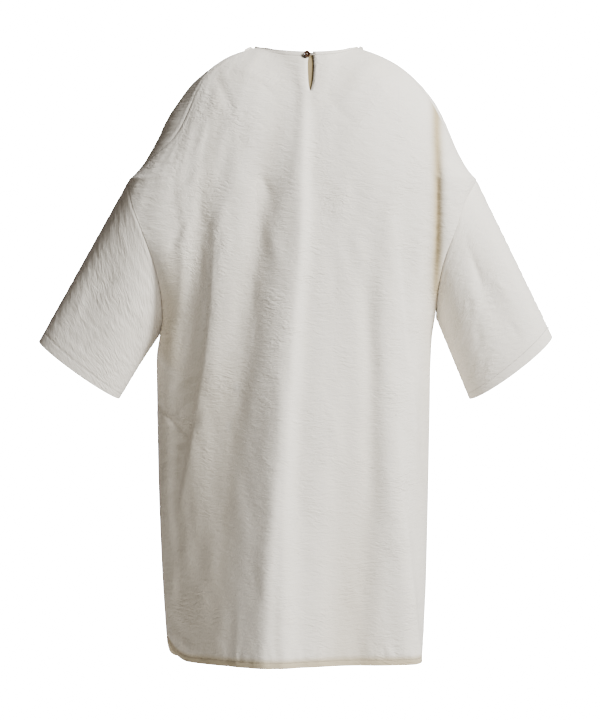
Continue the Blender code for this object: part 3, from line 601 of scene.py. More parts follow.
def lengthsOf(points):
    stepAcross = np.linalg.norm(np.diff(points, axis=1), axis=-1)
    across = np.concatenate([np.zeros((len(points), 1)), np.cumsum(stepAcross, axis=1)], axis=1)
    stepDown = np.linalg.norm(np.diff(points, axis=0), axis=-1)
    down = np.concatenate([np.zeros((1, points.shape[1])), np.cumsum(stepDown, axis=0)])
    return across, down


def sleeveGrid(side):
    # the sleeve's points, directions and ways round and along it
    settings = sleeves[side]
    look = sleeveLook[side]
    points, normals = armhole(side)
    steps = np.linalg.norm(np.roll(points, -1, axis=0) - points, axis=1)
    arc = np.concatenate([[0.0], np.cumsum(steps)])[:-1]
    half = armholeLine
    arc = np.where(np.arange(len(arc)) <= half, arc / arc[half] / 2,
                   0.5 + (arc - arc[half]) / steps[half:].sum() / 2)
    length = np.hypot(settings["outer"][0] - settings["hand"] * 0.28, settings["outer"][1] + 0.21)
    turned = cuffTurn / length
    levels = np.concatenate([[0, 0.0025, 0.006, 0.011], np.linspace(0.018, 1 - turned - 0.006, look["lines"]),
                             1 - turned + np.array([-0.002, 0.002, 0.006, 0.2 * turned, 0.4 * turned,
                                                    0.7 * turned,
                                                    0.92 * turned, turned])])
    s, place = np.meshgrid(levels, np.arange(len(arc)), indexing="ij")
    grid = sleevePoint(side, points[place], arc[place], s)
    turn = np.degrees(arc[place] * 2 * np.pi)
    lift = np.zeros_like(s)
    for where, part, height, halfTurn, halfPart in sleeveFolds[side]:
        away = (turn - where + 180) % 360 - 180
        lift += height / 1000 * np.exp(-(away / halfTurn) ** 2 - ((s - part) / halfPart) ** 2)
    lift *= np.sin(np.pi * np.clip(s, 0, 1)) ** 0.8
    sign = -settings["hand"]
    facing = outwards(grid, sign, tube=True)
    grid = grid + facing * lift[..., None]
    # finer waves, that go round the sleeve without a break
    roundWay = arc[place] * look["round"]
    alongWay = s * length
    calm = (1 - np.exp(-(alongWay / 0.016) ** 2)) * np.clip(((1 - s) * length - cuffTurn * 0.7) / 0.02,
                                                            0.12, 1)
    ringX = np.sin(np.radians(turn)) * look["round"] / (2 * np.pi)
    ringY = np.cos(np.radians(turn)) * look["round"] / (2 * np.pi)
    fine = ripples(ringX + 0.3 * ringY, alongWay, look["seed"], 0.050, 0.021, look["tilt"])
    fine = fine + 0.8 * ripples(ringY - 0.2 * ringX, alongWay, look["seed"] + 1, 0.030, 0.0125, -look["tilt"])
    relief = calm * cloth["rippleHeight"] * 1.1 * fine
    for where, part, height, wide, long, lean in look["creases"]:
        away = ((turn - where + 180) % 360 - 180) / 360 * look["round"] * 1000
        down = (s - part) * length * 1000
        a = away * np.cos(np.radians(lean)) + down * np.sin(np.radians(lean))
        b = down * np.cos(np.radians(lean)) - away * np.sin(np.radians(lean))
        relief = relief + calm * height / 1000 * np.exp(-(a / wide) ** 2 - (b / long) ** 2)
    relief = relief + cloth["seamRoll"] * (0.5 * np.exp(-((alongWay - 0.008) / 0.004) ** 2)
                                           - np.exp(-(alongWay / 0.0024) ** 2))
    relief = relief - 0.00045 * np.exp(-(((1 - s) * length - cuffTurn) / 0.0013) ** 2)
    grid = grid + outwards(grid, sign, tube=True) * relief[..., None]
    return grid, outwards(grid, sign, tube=True), normals, roundWay, alongWay, (1 - s) * length


# turn in degrees (90 is the middle of the back), part of the length,
# height and half sizes in mm, lean in degrees
sleeveLook = {
    "left": {"lines": 84, "round": 0.50, "seed": 41, "tilt": 0.5, "creases": (
        (70, 0.42, -1.8, 8, 26, 20), (100, 0.58, 1.6, 9, 30, 12), (52, 0.66, 1.2, 8, 20, -14),
        (120, 0.24, -1.4, 9, 26, 24),
        (84, 0.80, -1.0, 6, 18, 8), (150, 0.45, 1.2, 9, 24, -10), (220, 0.4, -1.6, 10, 30, 12),
        (260, 0.6, 1.6, 9, 28, -12),
        (300, 0.35, -1.4, 9, 28, 18), (330, 0.65, 1.4, 8, 24, 6))},
    "right": {"lines": 84, "round": 0.48, "seed": 53, "tilt": -0.5, "creases": (
        (78, 0.30, -2.0, 7, 34, -6), (96, 0.38, 1.4, 9, 30, -10), (58, 0.55, 1.2, 8, 24, 10),
        (112, 0.62, -1.2, 8, 26, -16),
        (70, 0.78, -1.0, 6, 18, 6), (140, 0.35, -1.2, 9, 24, 12), (215, 0.5, 1.4, 10, 30, 10),
        (255, 0.3, -1.6, 9, 28, -12),
        (295, 0.55, 1.3, 9, 28, 16), (335, 0.4, -1.3, 8, 24, -6))},
}


class Value:
    # a socket that can be used in sums
    def __init__(self, tree, socket):
        self.tree = tree
        self.socket = socket

    def sum(self, operation, other=0.0, swap=False):
        node = self.tree.nodes.new("ShaderNodeMath")
        node.operation = operation
        pair = (other, self) if swap else (self, other)
        for place, item in enumerate(pair):
            if isinstance(item, Value):
                self.tree.links.new(item.socket, node.inputs[place])
            else:
                node.inputs[place].default_value = item
        return Value(self.tree, node.outputs[0])

    def __add__(self, other):
        return self.sum("ADD", other)

    def __radd__(self, other):
        return self.sum("ADD", other)

    def __sub__(self, other):
        return self.sum("SUBTRACT", other)

    def __rsub__(self, other):
        return self.sum("SUBTRACT", other, True)

    def __mul__(self, other):
        return self.sum("MULTIPLY", other)

    def __rmul__(self, other):
        return self.sum("MULTIPLY", other)

    def __truediv__(self, other):
        return self.sum("DIVIDE", other)

    def __abs__(self):
        return self.sum("ABSOLUTE")

    def lower(self, other):
        return self.sum("MINIMUM", other)

    def upper(self, other):
        return self.sum("MAXIMUM", other)

    def above(self, other):
        return self.sum("GREATER_THAN", other)


class Finish:
    # a material and the nodes that make it
    def __init__(self, name, colour, rough):
        self.material = bpy.data.materials.new(name)
        self.material.use_nodes = True
        self.tree = self.material.node_tree
        self.shader = self.tree.nodes["Principled BSDF"]
        self.shader.inputs["Base Color"].default_value = (*colour, 1)
        self.shader.inputs["Roughness"].default_value = rough
        self.material.diffuse_color = (*colour, 1)

    def node(self, kind, settings=None, sockets=None, out=0):
        made = self.tree.nodes.new(kind)
        for name, value in (settings or {}).items():
            if name == "stops":
                ramp = made.color_ramp
                while len(ramp.elements) < len(value):
                    ramp.elements.new(0.5)
                for element, (place, shade) in zip(ramp.elements, value):
                    element.position = place
                    element.color = (*shade, 1) if len(shade) == 3 else shade
            else:
                setattr(made, name, value)
        for name, value in (sockets or {}).items():
            if isinstance(value, Value):
                self.tree.links.new(value.socket, made.inputs[name])
            else:
                made.inputs[name].default_value = value
        return Value(self.tree, made.outputs[out])

    def blend(self, part, first, second):
        # Factor is socket 0 and the colours are 6 and 7 of a Mix node
        return self.node("ShaderNodeMix", {"data_type": "RGBA"}, {0: part, 6: first, 7: second}, 2)

    def put(self, name, value):
        self.tree.links.new(value.socket, self.shader.inputs[name])


clothLook = {
    "colour": (0.805, 0.748, 0.655),
    "shadeAndLayerTint": (0.440, 0.350, 0.200),      # painted shade in the deep folds, the crevice and the left side, and the tint of doubled cloth at the hem, the facing and the pocket bags
    "rough": 0.86,
    "crinkle": (0.0145, 0.0044),        # length and height of one crinkle, m
    "small": (0.0070, 0.0024),
    "depth": 0.0026,
    "stitch": 0.0031,                   # from one stitch to the next
}


def clothFinish(name, stitchAt, tilt=0.0, spots=(), colour=clothLook["colour"], depth=clothLook["depth"]):
    f = Finish(name, colour, clothLook["rough"])
    f.shader.inputs["Sheen Weight"].default_value = 0.10
    f.shader.inputs["Sheen Roughness"].default_value = 0.55
    f.shader.inputs["Specular IOR Level"].default_value = 0.22
    way = f.node("ShaderNodeUVMap", {"uv_map": "clothWay"})
    # the ripples wander, so that no two run alike
    drift = f.node("ShaderNodeTexNoise", {"noise_dimensions": "2D"},
                   {"Vector": way, "Scale": 17.0, "Detail": 2.0}, 1)
    drift = f.node("ShaderNodeVectorMath", {"operation": "SUBTRACT"}, {0: drift, 1: (0.5, 0.5, 0.5)})
    drift = f.node("ShaderNodeVectorMath", {"operation": "MULTIPLY"}, {0: drift, 1: (0.020, 0.020, 0.0)})
    bent = f.node("ShaderNodeVectorMath", {"operation": "ADD"}, {0: way, 1: drift})
    turned = f.node("ShaderNodeMapping", {"vector_type": "TEXTURE"},
                    {"Vector": bent, "Rotation": (0, 0, tilt)})
    big = f.node("ShaderNodeVectorMath", {"operation": "MULTIPLY"},
                 {0: turned, 1: (1 / clothLook["crinkle"][0], 1 / clothLook["crinkle"][1], 1)})
    big = f.node("ShaderNodeTexNoise", {"noise_dimensions": "2D"},
                 {"Vector": big, "Scale": 1.0, "Detail": 2.2, "Roughness": 0.5, "Distortion": 0.5})
    leaned = f.node("ShaderNodeMapping", {"vector_type": "TEXTURE"},
                    {"Vector": bent, "Rotation": (0, 0, tilt + 0.35)})
    small = f.node("ShaderNodeVectorMath", {"operation": "MULTIPLY"},
                   {0: leaned, 1: (1 / clothLook["small"][0], 1 / clothLook["small"][1], 1)})
    small = f.node("ShaderNodeTexNoise", {"noise_dimensions": "2D"},
                   {"Vector": small, "Scale": 1.0, "Detail": 1.5, "Roughness": 0.5, "Distortion": 0.3})
    grain = f.node("ShaderNodeTexNoise", {"noise_dimensions": "2D"},
                   {"Vector": way, "Scale": 1300.0, "Detail": 1.0})
    patch = f.node("ShaderNodeTexNoise", {"noise_dimensions": "2D"},
                   {"Vector": way, "Scale": 14.0, "Detail": 2.0})
    lively = (patch - 0.30) * 2.2
    height = (big * 0.64 + small * 0.26) * lively.upper(0.45).lower(1.25) + grain * 0.055
    edge = f.node("ShaderNodeAttribute", {"attribute_name": "edgeWay"}, None, 2)
    place = f.node("ShaderNodeSeparateXYZ", None, {"Vector": way})
    beat = (place / clothLook["stitch"]).sum("FRACT")
    beat = (abs(beat - 0.5) * -1 + 0.40).above(0.0)
    stitch = (1.0 - abs(edge - stitchAt) / 0.00045).upper(0.0) * beat
    # the tone attribute blends in painted shade for the deep folds, the crevice and the left side, and the
    # tint of doubled cloth
    tone = f.node("ShaderNodeAttribute", {"attribute_name": "tone"}, None, 2)
    mottle = (patch - 0.5) * 0.25 + (big - 0.5) * 0.10
    shade = f.blend((tone + mottle * 0.3).upper(0.0).lower(1.0), (*colour, 1), (*clothLook["shadeAndLayerTint"], 1))
    shade = f.blend(stitch.lower(1.0) * 0.30, shade, (0.60, 0.555, 0.47, 1))
    # a darker line: along the neck facing's edge it is the facing seen through the cloth, along the pocket's
    # mouth it is painted shadow
    facing = f.node("ShaderNodeAttribute", {"attribute_name": "faceWay"}, None, 2)
    line = (1.0 - abs(facing) / 0.0016).upper(0.0)
    shade = f.blend(line * 0.16, shade, (0.62, 0.57, 0.47, 1))
    if spots:
        spot = f.node("ShaderNodeTexCoord", None, None, 3)
        flat = f.node("ShaderNodeVectorMath", {"operation": "MULTIPLY"}, {0: spot, 1: (1, 0, 1)})
        # the marks blended into the colour: the dots are stains, the bluish patches and the thin grey line
        # are painted shade
        for x, z, wide, tall, strength, stainAndShadeColour in spots:
            off = f.node("ShaderNodeVectorMath", {"operation": "SUBTRACT"}, {0: flat, 1: (x, 0, z)})
            off = f.node("ShaderNodeVectorMath", {"operation": "MULTIPLY"},
                         {0: off, 1: (1 / wide, 0, 1 / tall)})
            off = f.node("ShaderNodeVectorMath", {"operation": "LENGTH"}, {0: off}, 1)
            shade = f.blend((1.0 - off).upper(0.0) * strength, shade, (*stainAndShadeColour, 1))
    f.put("Base Color", shade)
    bump = f.node("ShaderNodeBump", None,
                  {"Strength": 1.0, "Distance": depth, "Height": height + stitch * 0.35})
    f.put("Normal", bump)
    return f.material


def garmentPiece(name, material):
    mesh = bpy.data.meshes.new(name)
    made = bpy.data.objects.new(name, mesh)
    made.data.materials.append(material)
    bpy.context.scene.collection.objects.link(made)
    return made


def dress(bm, name, material):
    bmesh.ops.recalc_face_normals(bm, faces=bm.faces[:])
    if bm.calc_volume(signed=True) < 0:
        bmesh.ops.reverse_faces(bm, faces=bm.faces[:])
    made = garmentPiece(name, material)
    bm.to_mesh(made.data)
    bm.free()
    made.data.shade_smooth()
    return made


def sewnSheet(name, outer, inner, ways, marks, material, slit=None, tube=False):
    # a closed wall from a grid of outer points and one of inner points; ways and marks go with each point
    high = outer.shape[0] - 1
    wide = outer.shape[1] - 1
    bm = bmesh.new()
    bmesh.ops.create_grid(bm, x_segments=wide, y_segments=high, size=1.0)
    station = bm.verts.layers.int.new("station")
    clothWay = bm.loops.layers.uv.new("clothWay")
    for vert in bm.verts:
        column = round((vert.co.x + 1) / 2 * wide)
        row = round((1 - vert.co.y) / 2 * high)
        vert[station] = row * (wide + 1) + column
    flatWays = [tuple(pair) for pair in ways.reshape(-1, 2).tolist()]
    for face in bm.faces:
        for loop in face.loops:
            loop[clothWay].uv = flatWays[loop.vert[station]]
    outside = outer.reshape(-1, 3)
    inside = inner.reshape(-1, 3)
    extra = 0
    if slit is not None:
        secondOuter, secondInner, slitEnd = slit
        extra = len(secondOuter)
        path = [e for e in bm.edges if all(abs(v.co.x) < 1e-6 and v.co.y > 1 - 2 * (slitEnd + 0.5) / high
                                           for v in e.verts)]
        bmesh.ops.split_edges(bm, edges=path)
        for vert in bm.verts:
            if abs(vert.co.x) < 1e-6:
                row = round((1 - vert.co.y) / 2 * high)
                middle = sum(f.calc_center_median().x for f in vert.link_faces) / len(vert.link_faces)
                if row < slitEnd and middle < 0:
                    vert[station] = len(outside) + row
        outside = np.concatenate([outside, secondOuter])
        inside = np.concatenate([inside, secondInner])
    outsideRows = [tuple(point) for point in outside.tolist()]
    insideRows = [tuple(point) for point in inside.tolist()]
    for vert in bm.verts:
        vert.co = outsideRows[vert[station]]
    if tube:
        bmesh.ops.remove_doubles(bm, verts=bm.verts[:], dist=1e-6)
    grown = bmesh.ops.extrude_face_region(bm, geom=bm.faces[:], use_keep_orig=True)
    for item in grown["geom"]:
        if isinstance(item, bmesh.types.BMVert):
            item.co = insideRows[item[station]]
    made = dress(bm, name, material)
    stations = np.zeros(len(made.data.vertices), dtype=int)
    made.data.attributes["station"].data.foreach_get("value", stations)
    wholeGrid = (high + 1) * (wide + 1)
    stations = np.where(stations < wholeGrid, stations, (stations - wholeGrid) * (wide + 1) + wide // 2)
    for mark, values in marks.items():
        layer = made.data.attributes.new(mark, "FLOAT", "POINT")
        layer.data.foreach_set("value", values.reshape(-1)[stations].astype(np.float32))
    made.data.attributes.remove(made.data.attributes["station"])
    return made


def sharedFacing(side):
    # the panels' directions, the same on both pieces along a seam
    points, facing = panels[side]
    facing = facing.copy()
    other = panels[-side][1]
    neckEnd = int(round(neckColumns * cloth["acrossSteps"]))
    for seam in (slice(0, middleLine - neckEnd + 1), slice(middleLine + neckEnd, lastLine + 1)):
        facing[0, seam] = unit(facing[0, seam] + other[0, seam])
    belowArmhole = np.where(np.arange(len(facing)) >= armholeLine, 1, 0)[:, None]
    for column in (0, lastLine):
        facing[:, column] = unit(facing[:, column] + other[:, column] * belowArmhole)
    return facing


def paintedFoldShade(points, side):
    # painted shade: the deep folds made warm and dim in the colour, by how deep each fold lies, standing in
    # for their shade and the light bounced between cloth
    folds = backFolds if side > 0 else frontFolds
    height = foldHeight(folds, points[..., 0], -points[..., 2])
    return np.clip(-height / 0.022, 0, 1) ** 1.3


def panelPiece(name, node, side, material):
    points, _ = panels[side]
    facing = sharedFacing(side)
    across, down = lengthsOf(points)
    relief = reliefOf(side, points, across, down)
    outer = points + facing * relief[..., None]
    outer[0] = partFrom(outer[0], outer[1], facing[0])
    outer[:, 0] = partFrom(outer[:, 0], outer[:, 1], facing[:, 0])
    outer[:, -1] = partFrom(outer[:, -1], outer[:, -2], facing[:, -1])
    fromHem = down[-1:] - down
    wall = np.where(fromHem < hemTurn - 0.0004, cloth["hemWall"], cloth["wall"])
    inner = outer - facing * wall[..., None]
    neck = np.abs(acrossGrid) < neckPart + 1e-9
    slit = None
    if side > 0:
        zero = np.zeros_like(downLines)
        second = bodyPoint(zero, columnRun(zero, downLines, 1), np.full_like(zero, -1.0))
        second = second + facing[:, middleLine] * relief[:, middleLine, None]
        slit = (second, second - facing[:, middleLine] * cloth["wall"], slitLine)
    ways = np.stack([across - across[:, middleLine:middleLine + 1], -points[..., 2]], axis=-1)
    fromSide = np.minimum(across, across[:, -1:] - across)
    edge = np.minimum(fromHem, np.where(neck, down + 0.0003, 1.0) + np.where(acrossGrid < 0, 0.0022,
        0) * neck)
    far = np.abs(acrossGrid) * columns / 2 / facingColumns
    bulge = facingRows * (1 + 0.05 * np.sin(np.pi * np.clip(far * 2, 0, 1)) ** 2 - 0.62 * far ** 3)
    faceWay = np.where(far <= 1, (bulge - downGrid) * 0.0100, -0.05)
    if side < 0:
        faceWay = faceWay * 0 - 0.05
    tone = 0.27 * paintedFoldShade(points, side)
    tone = np.maximum(tone, 0.80 * np.clip((hemTurn - fromHem) / 0.001 + 1, 0, 1))
    if side > 0:
        tone = np.maximum(tone, np.where(faceWay > 0, 0.05, 0))
        # painted shade: the crevice beside the right armhole darkened and warmed in the colour
        crevice = np.exp(-((points[..., 0] + 0.206) / 0.009) ** 2) * np.clip((0.44 + points[..., 2]) / 0.05,
            0, 1)
        tone = np.maximum(tone, 1.0 * crevice)
        off, along = mouthAway(points[..., 0], -points[..., 2])
        bag = np.clip(-off / 0.002, 0, 1) * np.clip((0.070 + off) / 0.02, 0,
                                                    1) * np.clip((points[..., 0] - 0.188) / 0.012, 0, 1)
        tone = np.maximum(tone, 0.20 * bag)
        # painted shade: the left side near x 0.215 darkened in the colour, from drop 0.30 down to the pocket
        shade = np.exp(-((points[..., 0] - 0.215) / 0.028) ** 2) * np.clip((-0.30 - points[..., 2]) / 0.10,
            0, 1)
        tone = np.maximum(tone, 0.50 * shade * np.clip((0.61 + points[..., 2]) / 0.05, 0, 1) * (1 - bag))
        # painted shadow: a dark line along the pocket's mouth, drawn through the same line as the facing's
        # edge
        mouthWay = np.where((along > -0.3) & (along < 1.1), off + 0.0015, -0.05)
        faceWay = np.where(np.abs(mouthWay) < 0.004, mouthWay * 0.8, faceWay)
    marks = {"edgeWay": edge, "tone": tone, "faceWay": faceWay}
    made = sewnSheet(name, outer, inner, ways, marks, material, slit)
    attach(made, "root")
    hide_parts(node)
    print("manteau:", name, "made, middle length", round(float(down[-1, middleLine]), 3),
          "width at the chest",
          round(float(across[armholeLine].max()), 3), "at the hem", round(float(across[-1].max()), 3))
    return made, outer, facing


def sleevePiece(name, node, side, material):
    grid, facing, normals, roundWay, alongWay, toCuff = sleeveGrid(side)
    facing = facing.copy()
    facing[0] = unit(facing[0] + normals)
    outer = grid.copy()
    ring = np.concatenate([grid[:, -1:], grid, grid[:, :1]], axis=1)
    ringFacing = np.concatenate([facing[0, -1:], facing[0], facing[0, :1]])
    outer[0] = partFrom(ring[0], ring[1], ringFacing)[1:-1]
    wall = np.where(toCuff < cuffTurn - 0.0004, cloth["hemWall"], cloth["wall"])
    inner = outer - facing * wall[..., None]
    close = [np.concatenate([item, item[:, :1]], axis=1) for item in (outer, inner, alongWay, toCuff)]
    rounds = np.concatenate([roundWay, np.full_like(roundWay[:, :1], sleeveLook[side]["round"])], axis=1)
    ways = np.stack([rounds, close[2]], axis=-1)
    tone = 0.22 * np.clip((cuffTurn - close[3]) / 0.001 + 1, 0, 1) * 0
    marks = {"edgeWay": close[3], "tone": tone, "faceWay": np.full_like(tone, -0.05)}
    made = sewnSheet(name, close[0], close[1], ways, marks, material, tube=True)
    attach(made, "root")
    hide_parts(node)
    print("manteau:", name, "made, longest side", round(float(alongWay.max()), 3))
    return made


marksOnBack = (
    # x, z, half width, half height, strength, colour
    (-0.0840, -0.3472, 0.0046, 0.0042, 0.35, (0.42, 0.41, 0.40)),
    (-0.1400, -0.5856, 0.0018, 0.0020, 0.60, (0.22, 0.20, 0.18)),
    # painted shade: two faint bluish patches, for shading behind the cloth that shows through it
    (0.1096, -0.5424, 0.0080, 0.0120, 0.14, (0.46, 0.50, 0.58)),
    (0.1224, -0.6030, 0.0070, 0.0110, 0.14, (0.46, 0.50, 0.58)),
    # painted shade: a thin tall grey line for a faint crease near the right shoulder
    (-0.1448, -0.0860, 0.0011, 0.0460, 0.20, (0.50, 0.50, 0.54)),
)
backMaterial = clothFinish("backCrepe", 0.0090, 0.0, marksOnBack)
frontMaterial = clothFinish("frontCrepe", 0.0090)
leftMaterial = clothFinish("leftSleeveCrepe", cuffTurn, 0.45)
rightMaterial = clothFinish("rightSleeveCrepe", cuffTurn, -0.45)
backCloth, backOuter, backFacing = panelPiece("backCloth", "back_panel", 1, backMaterial)
panelPiece("frontCloth", "front_panel", -1, frontMaterial)
sleevePiece("leftSleeveCloth", "sleeve_left", "left", leftMaterial)
sleevePiece("rightSleeveCloth", "sleeve_right", "right", rightMaterial)

# the underlap's colour is painted shade: dark brown for the shadow inside the slit
innerLook = {"gap": 0.0007, "wall": 0.0008, "colour": (0.74, 0.69, 0.58), "strip": (0.185, 0.138, 0.065)}
innerMaterial = clothFinish("facingCrepe", 0.0040, 0.2, (), innerLook["colour"], 0.0007)


def neckFacing():
    # the shaped facing inside the back neck, cut through at the slit
    fine = cloth["acrossSteps"]
    reach = facingColumns * fine
    across = np.arange(middleLine - reach, middleLine + reach + 1, dtype=float)
    parts = np.linspace(0, 1, 61)
    part, column = np.meshgrid(parts, across, indexing="ij")
    far = np.abs(column - middleLine) / reach
    bulge = facingRows * (1 + 0.05 * np.sin(np.pi * np.clip(far * 2, 0, 1)) ** 2 - 0.62 * far ** 3)
    row = np.interp(np.maximum(part * bulge, 0.06), downLines, np.arange(len(downLines)))
    depth = cloth["wall"] + innerLook["gap"]
    away = within(backFacing, column, row)
    lay = within(backOuter, column, row) - away * depth
    back = lay - away * innerLook["wall"]
    slitPart = int(np.argmin(np.abs(parts * facingRows - slitRows)))
    zero = np.zeros_like(parts)
    second = bodyPoint(zero, columnRun(zero, np.maximum(parts * facingRows, 0.06), 1),
                       np.full_like(zero, -1.0))
    second = second - away[:, reach] * depth
    widths, downs = lengthsOf(lay)
    ways = np.stack([widths, downs], axis=-1)
    toEdge = np.minimum(downs[-1:] - downs, np.minimum(widths, widths[:, -1:] - widths))
    marks = {"edgeWay": toEdge, "tone": np.full_like(toEdge, 0.25), "faceWay": np.full_like(toEdge, -0.05)}
    made = sewnSheet("backNeckFacing", lay, back, ways, marks, innerMaterial,
                     (second, second - away[:, reach] * innerLook["wall"], slitPart))
    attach(made, "root")
    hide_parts("back_neck_facing")
    return made


def underlap():
    # the underlap behind the slit that shows through it; its dark brown colour is painted shade for the
    # shadow inside the slit
    reach = 1.5 * cloth["acrossSteps"]
    row, column = np.meshgrid(np.linspace(0.6, slitRows + 1, 60),
                              middleLine + np.linspace(-reach, reach, 28), indexing="ij")
    row = np.interp(row, downLines, np.arange(len(downLines)))
    closed = backOuter.copy()
    zero = np.zeros_like(downLines)
    closed[:, middleLine] = bodyPoint(zero, columnRun(zero, downLines, 1), zero)
    away = within(backFacing, column, row)
    lay = within(closed, column, row) - away * (cloth["wall"] + innerLook["gap"] + innerLook["wall"] + 0.0010)
    widths, downs = lengthsOf(lay)
    marks = {"edgeWay": np.minimum(widths, widths[:, -1:] - widths), "tone": np.full_like(widths, 0.2),
             "faceWay": np.full_like(widths, -0.05)}
    strip = clothFinish("underlapShadedCrepe", 0.0040, 0.2, (), innerLook["strip"], 0.0007)
    made = sewnSheet("slitUnderlap", lay, lay - away * innerLook["wall"],
                     np.stack([widths, downs], axis=-1), marks, strip)
    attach(made, "root")
    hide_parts("slit_underlap")
    return made


def pocketBag(name, node, hand):
    # a bag pressed flat inside the back, from the side seam inwards
    away = np.linspace(0.1, 6, 40)
    part, away = np.meshgrid(np.linspace(0, 1, 46), away, indexing="ij")
    coarse = columns - away if hand > 0 else away
    column = np.interp(-1 + 2 * coarse / columns, acrossLines, np.arange(lastLine + 1))
    drops = -backOuter[..., 2]
    far = away / 6
    top = pocketTopDrop + 0.034 * far
    low = pocketEndDrop - 0.014 * far ** 3
    drop = top + (low - top) * part
    steps = np.arange(len(downLines), dtype=float)
    row = np.zeros_like(drop)
    for place in np.ndindex(drop.shape):
        line = int(round(column[place]))
        row[place] = np.interp(drop[place], drops[:, line], steps)
    facing = within(backFacing, column, row)
    lay = within(backOuter, column, row) - facing * (cloth["wall"] + innerLook["gap"])
    back = lay - facing * innerLook["wall"]
    widths, downs = lengthsOf(lay)
    toEdge = np.minimum(np.minimum(downs, downs[-1:] - downs), widths[:, -1:] - widths)
    marks = {"edgeWay": toEdge, "tone": np.full_like(toEdge, 0.2), "faceWay": np.full_like(toEdge, -0.05)}
    made = sewnSheet(name, lay, back, np.stack([widths, downs], axis=-1), marks, innerMaterial)
    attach(made, "root")
    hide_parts(node)
    return made


neckFacing()
underlap()
pocketBag("leftPocketBag", "pocket_bag_left", 1)
pocketBag("rightPocketBag", "pocket_bag_right", -1)
print("manteau: facing and pocket bags made")

buttonLook = {
    "radius": 0.0056, "thick": 0.0024, "lift": 0.0021, "steps": 56,
    "holeAt": 0.00105, "holeWide": 0.00052,
    "dark": (0.008, 0.003, 0.002), "brown": (0.030, 0.012, 0.005), "amber": (0.16, 0.065, 0.02),
}
base, buttonAcross, buttonAlong, buttonOut = placeAt(0.006, 0.0164, 0.0003, 1)
buttonOut = unit(buttonOut + np.array([0.0, 1.2, 0.0]))     # it hangs a little off the cloth
base = base + np.array([0.0, 0.0008, -0.0004])
buttonAcross = unit(np.cross(np.array([0, 0, 1.0]), buttonOut))
buttonAlong = np.cross(buttonOut, buttonAcross)


def onButton(x, y, z):
    return Vector(base + buttonAcross * x + buttonAlong * y + buttonOut * z)


def resinFinish():
    f = Finish("tortoiseResin", buttonLook["brown"], 0.16)
    f.shader.inputs["Coat Weight"].default_value = 0.4
    f.shader.inputs["Coat Roughness"].default_value = 0.08
    f.shader.inputs["Specular IOR Level"].default_value = 0.55
    at = f.node("ShaderNodeTexCoord", None, None, 3)
    cloud = f.node("ShaderNodeTexNoise", None,
                   {"Vector": at, "Scale": 420.0, "Detail": 3.0, "Distortion": 1.2})
    shade = f.node("ShaderNodeValToRGB", {"stops": ((0.40, buttonLook["dark"]), (0.56, buttonLook["brown"]),
                                                    (0.72, buttonLook["amber"]))}, {"Fac": cloud})
    f.put("Base Color", shade)
    scratch = f.node("ShaderNodeTexNoise", None, {"Vector": at, "Scale": 3000.0, "Detail": 2.0})
    f.put("Roughness", scratch * 0.16 + 0.10)
    return f.material


def buttonPiece():
    rim = buttonLook["radius"]
    low = buttonLook["lift"]
    high = low + buttonLook["thick"]
    profile = ((0, low), (rim - 0.0012, low), (rim - 0.0005, low + 0.00025), (rim - 0.0001, low + 0.0007),
               (rim, low + 0.0011),
               (rim - 0.0001, high - 0.0006), (rim - 0.0004, high - 0.0002), (rim - 0.0009, high),
               (rim - 0.0014, high - 0.0001),
               (rim - 0.0018, high - 0.0005), (rim - 0.0023, high - 0.0008), (rim - 0.0031, high - 0.0009),
               (0, high - 0.0009))
    bm = bmesh.new()
    verts = [bm.verts.new((r, 0, h)) for r, h in profile]
    edges = [bm.edges.new(pair) for pair in zip(verts, verts[1:])]
    bmesh.ops.spin(bm, geom=verts + edges, cent=(0, 0, 0), axis=(0, 0, 1), angle=2 * math.pi,
                   steps=buttonLook["steps"], use_merge=True, use_duplicate=False)
    bmesh.ops.remove_doubles(bm, verts=bm.verts[:], dist=1e-7)
    made = dress(bm, "neckButton", resinFinish())
    drill = bmesh.new()
    for turn in range(4):
        angle = math.pi / 4 + turn * math.pi / 2
        hole = bmesh.ops.create_cone(drill, cap_ends=True, segments=18, radius1=buttonLook["holeWide"],
                                     radius2=buttonLook["holeWide"], depth=0.006)
        away = (math.cos(angle) * buttonLook["holeAt"], math.sin(angle) * buttonLook["holeAt"],
                (low + high) / 2)
        bmesh.ops.translate(drill, verts=hole["verts"], vec=away)
    cutter = dress(drill, "holeCutter", made.data.materials[0])
    cut = made.modifiers.new("holes", "BOOLEAN")
    cut.object = cutter
    cut.operation = "DIFFERENCE"
    cut.solver = "EXACT"
    whole = bpy.data.meshes.new_from_object(made.evaluated_get(bpy.context.evaluated_depsgraph_get()))
    made.modifiers.remove(cut)
    made.data = whole
    bpy.data.objects.remove(cutter)
    for vert in whole.vertices:
        vert.co = onButton(*vert.co)
    whole.update()
    whole.set_sharp_from_angle(angle=math.radians(40))
    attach(made, "root")
    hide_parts("button")
    return made


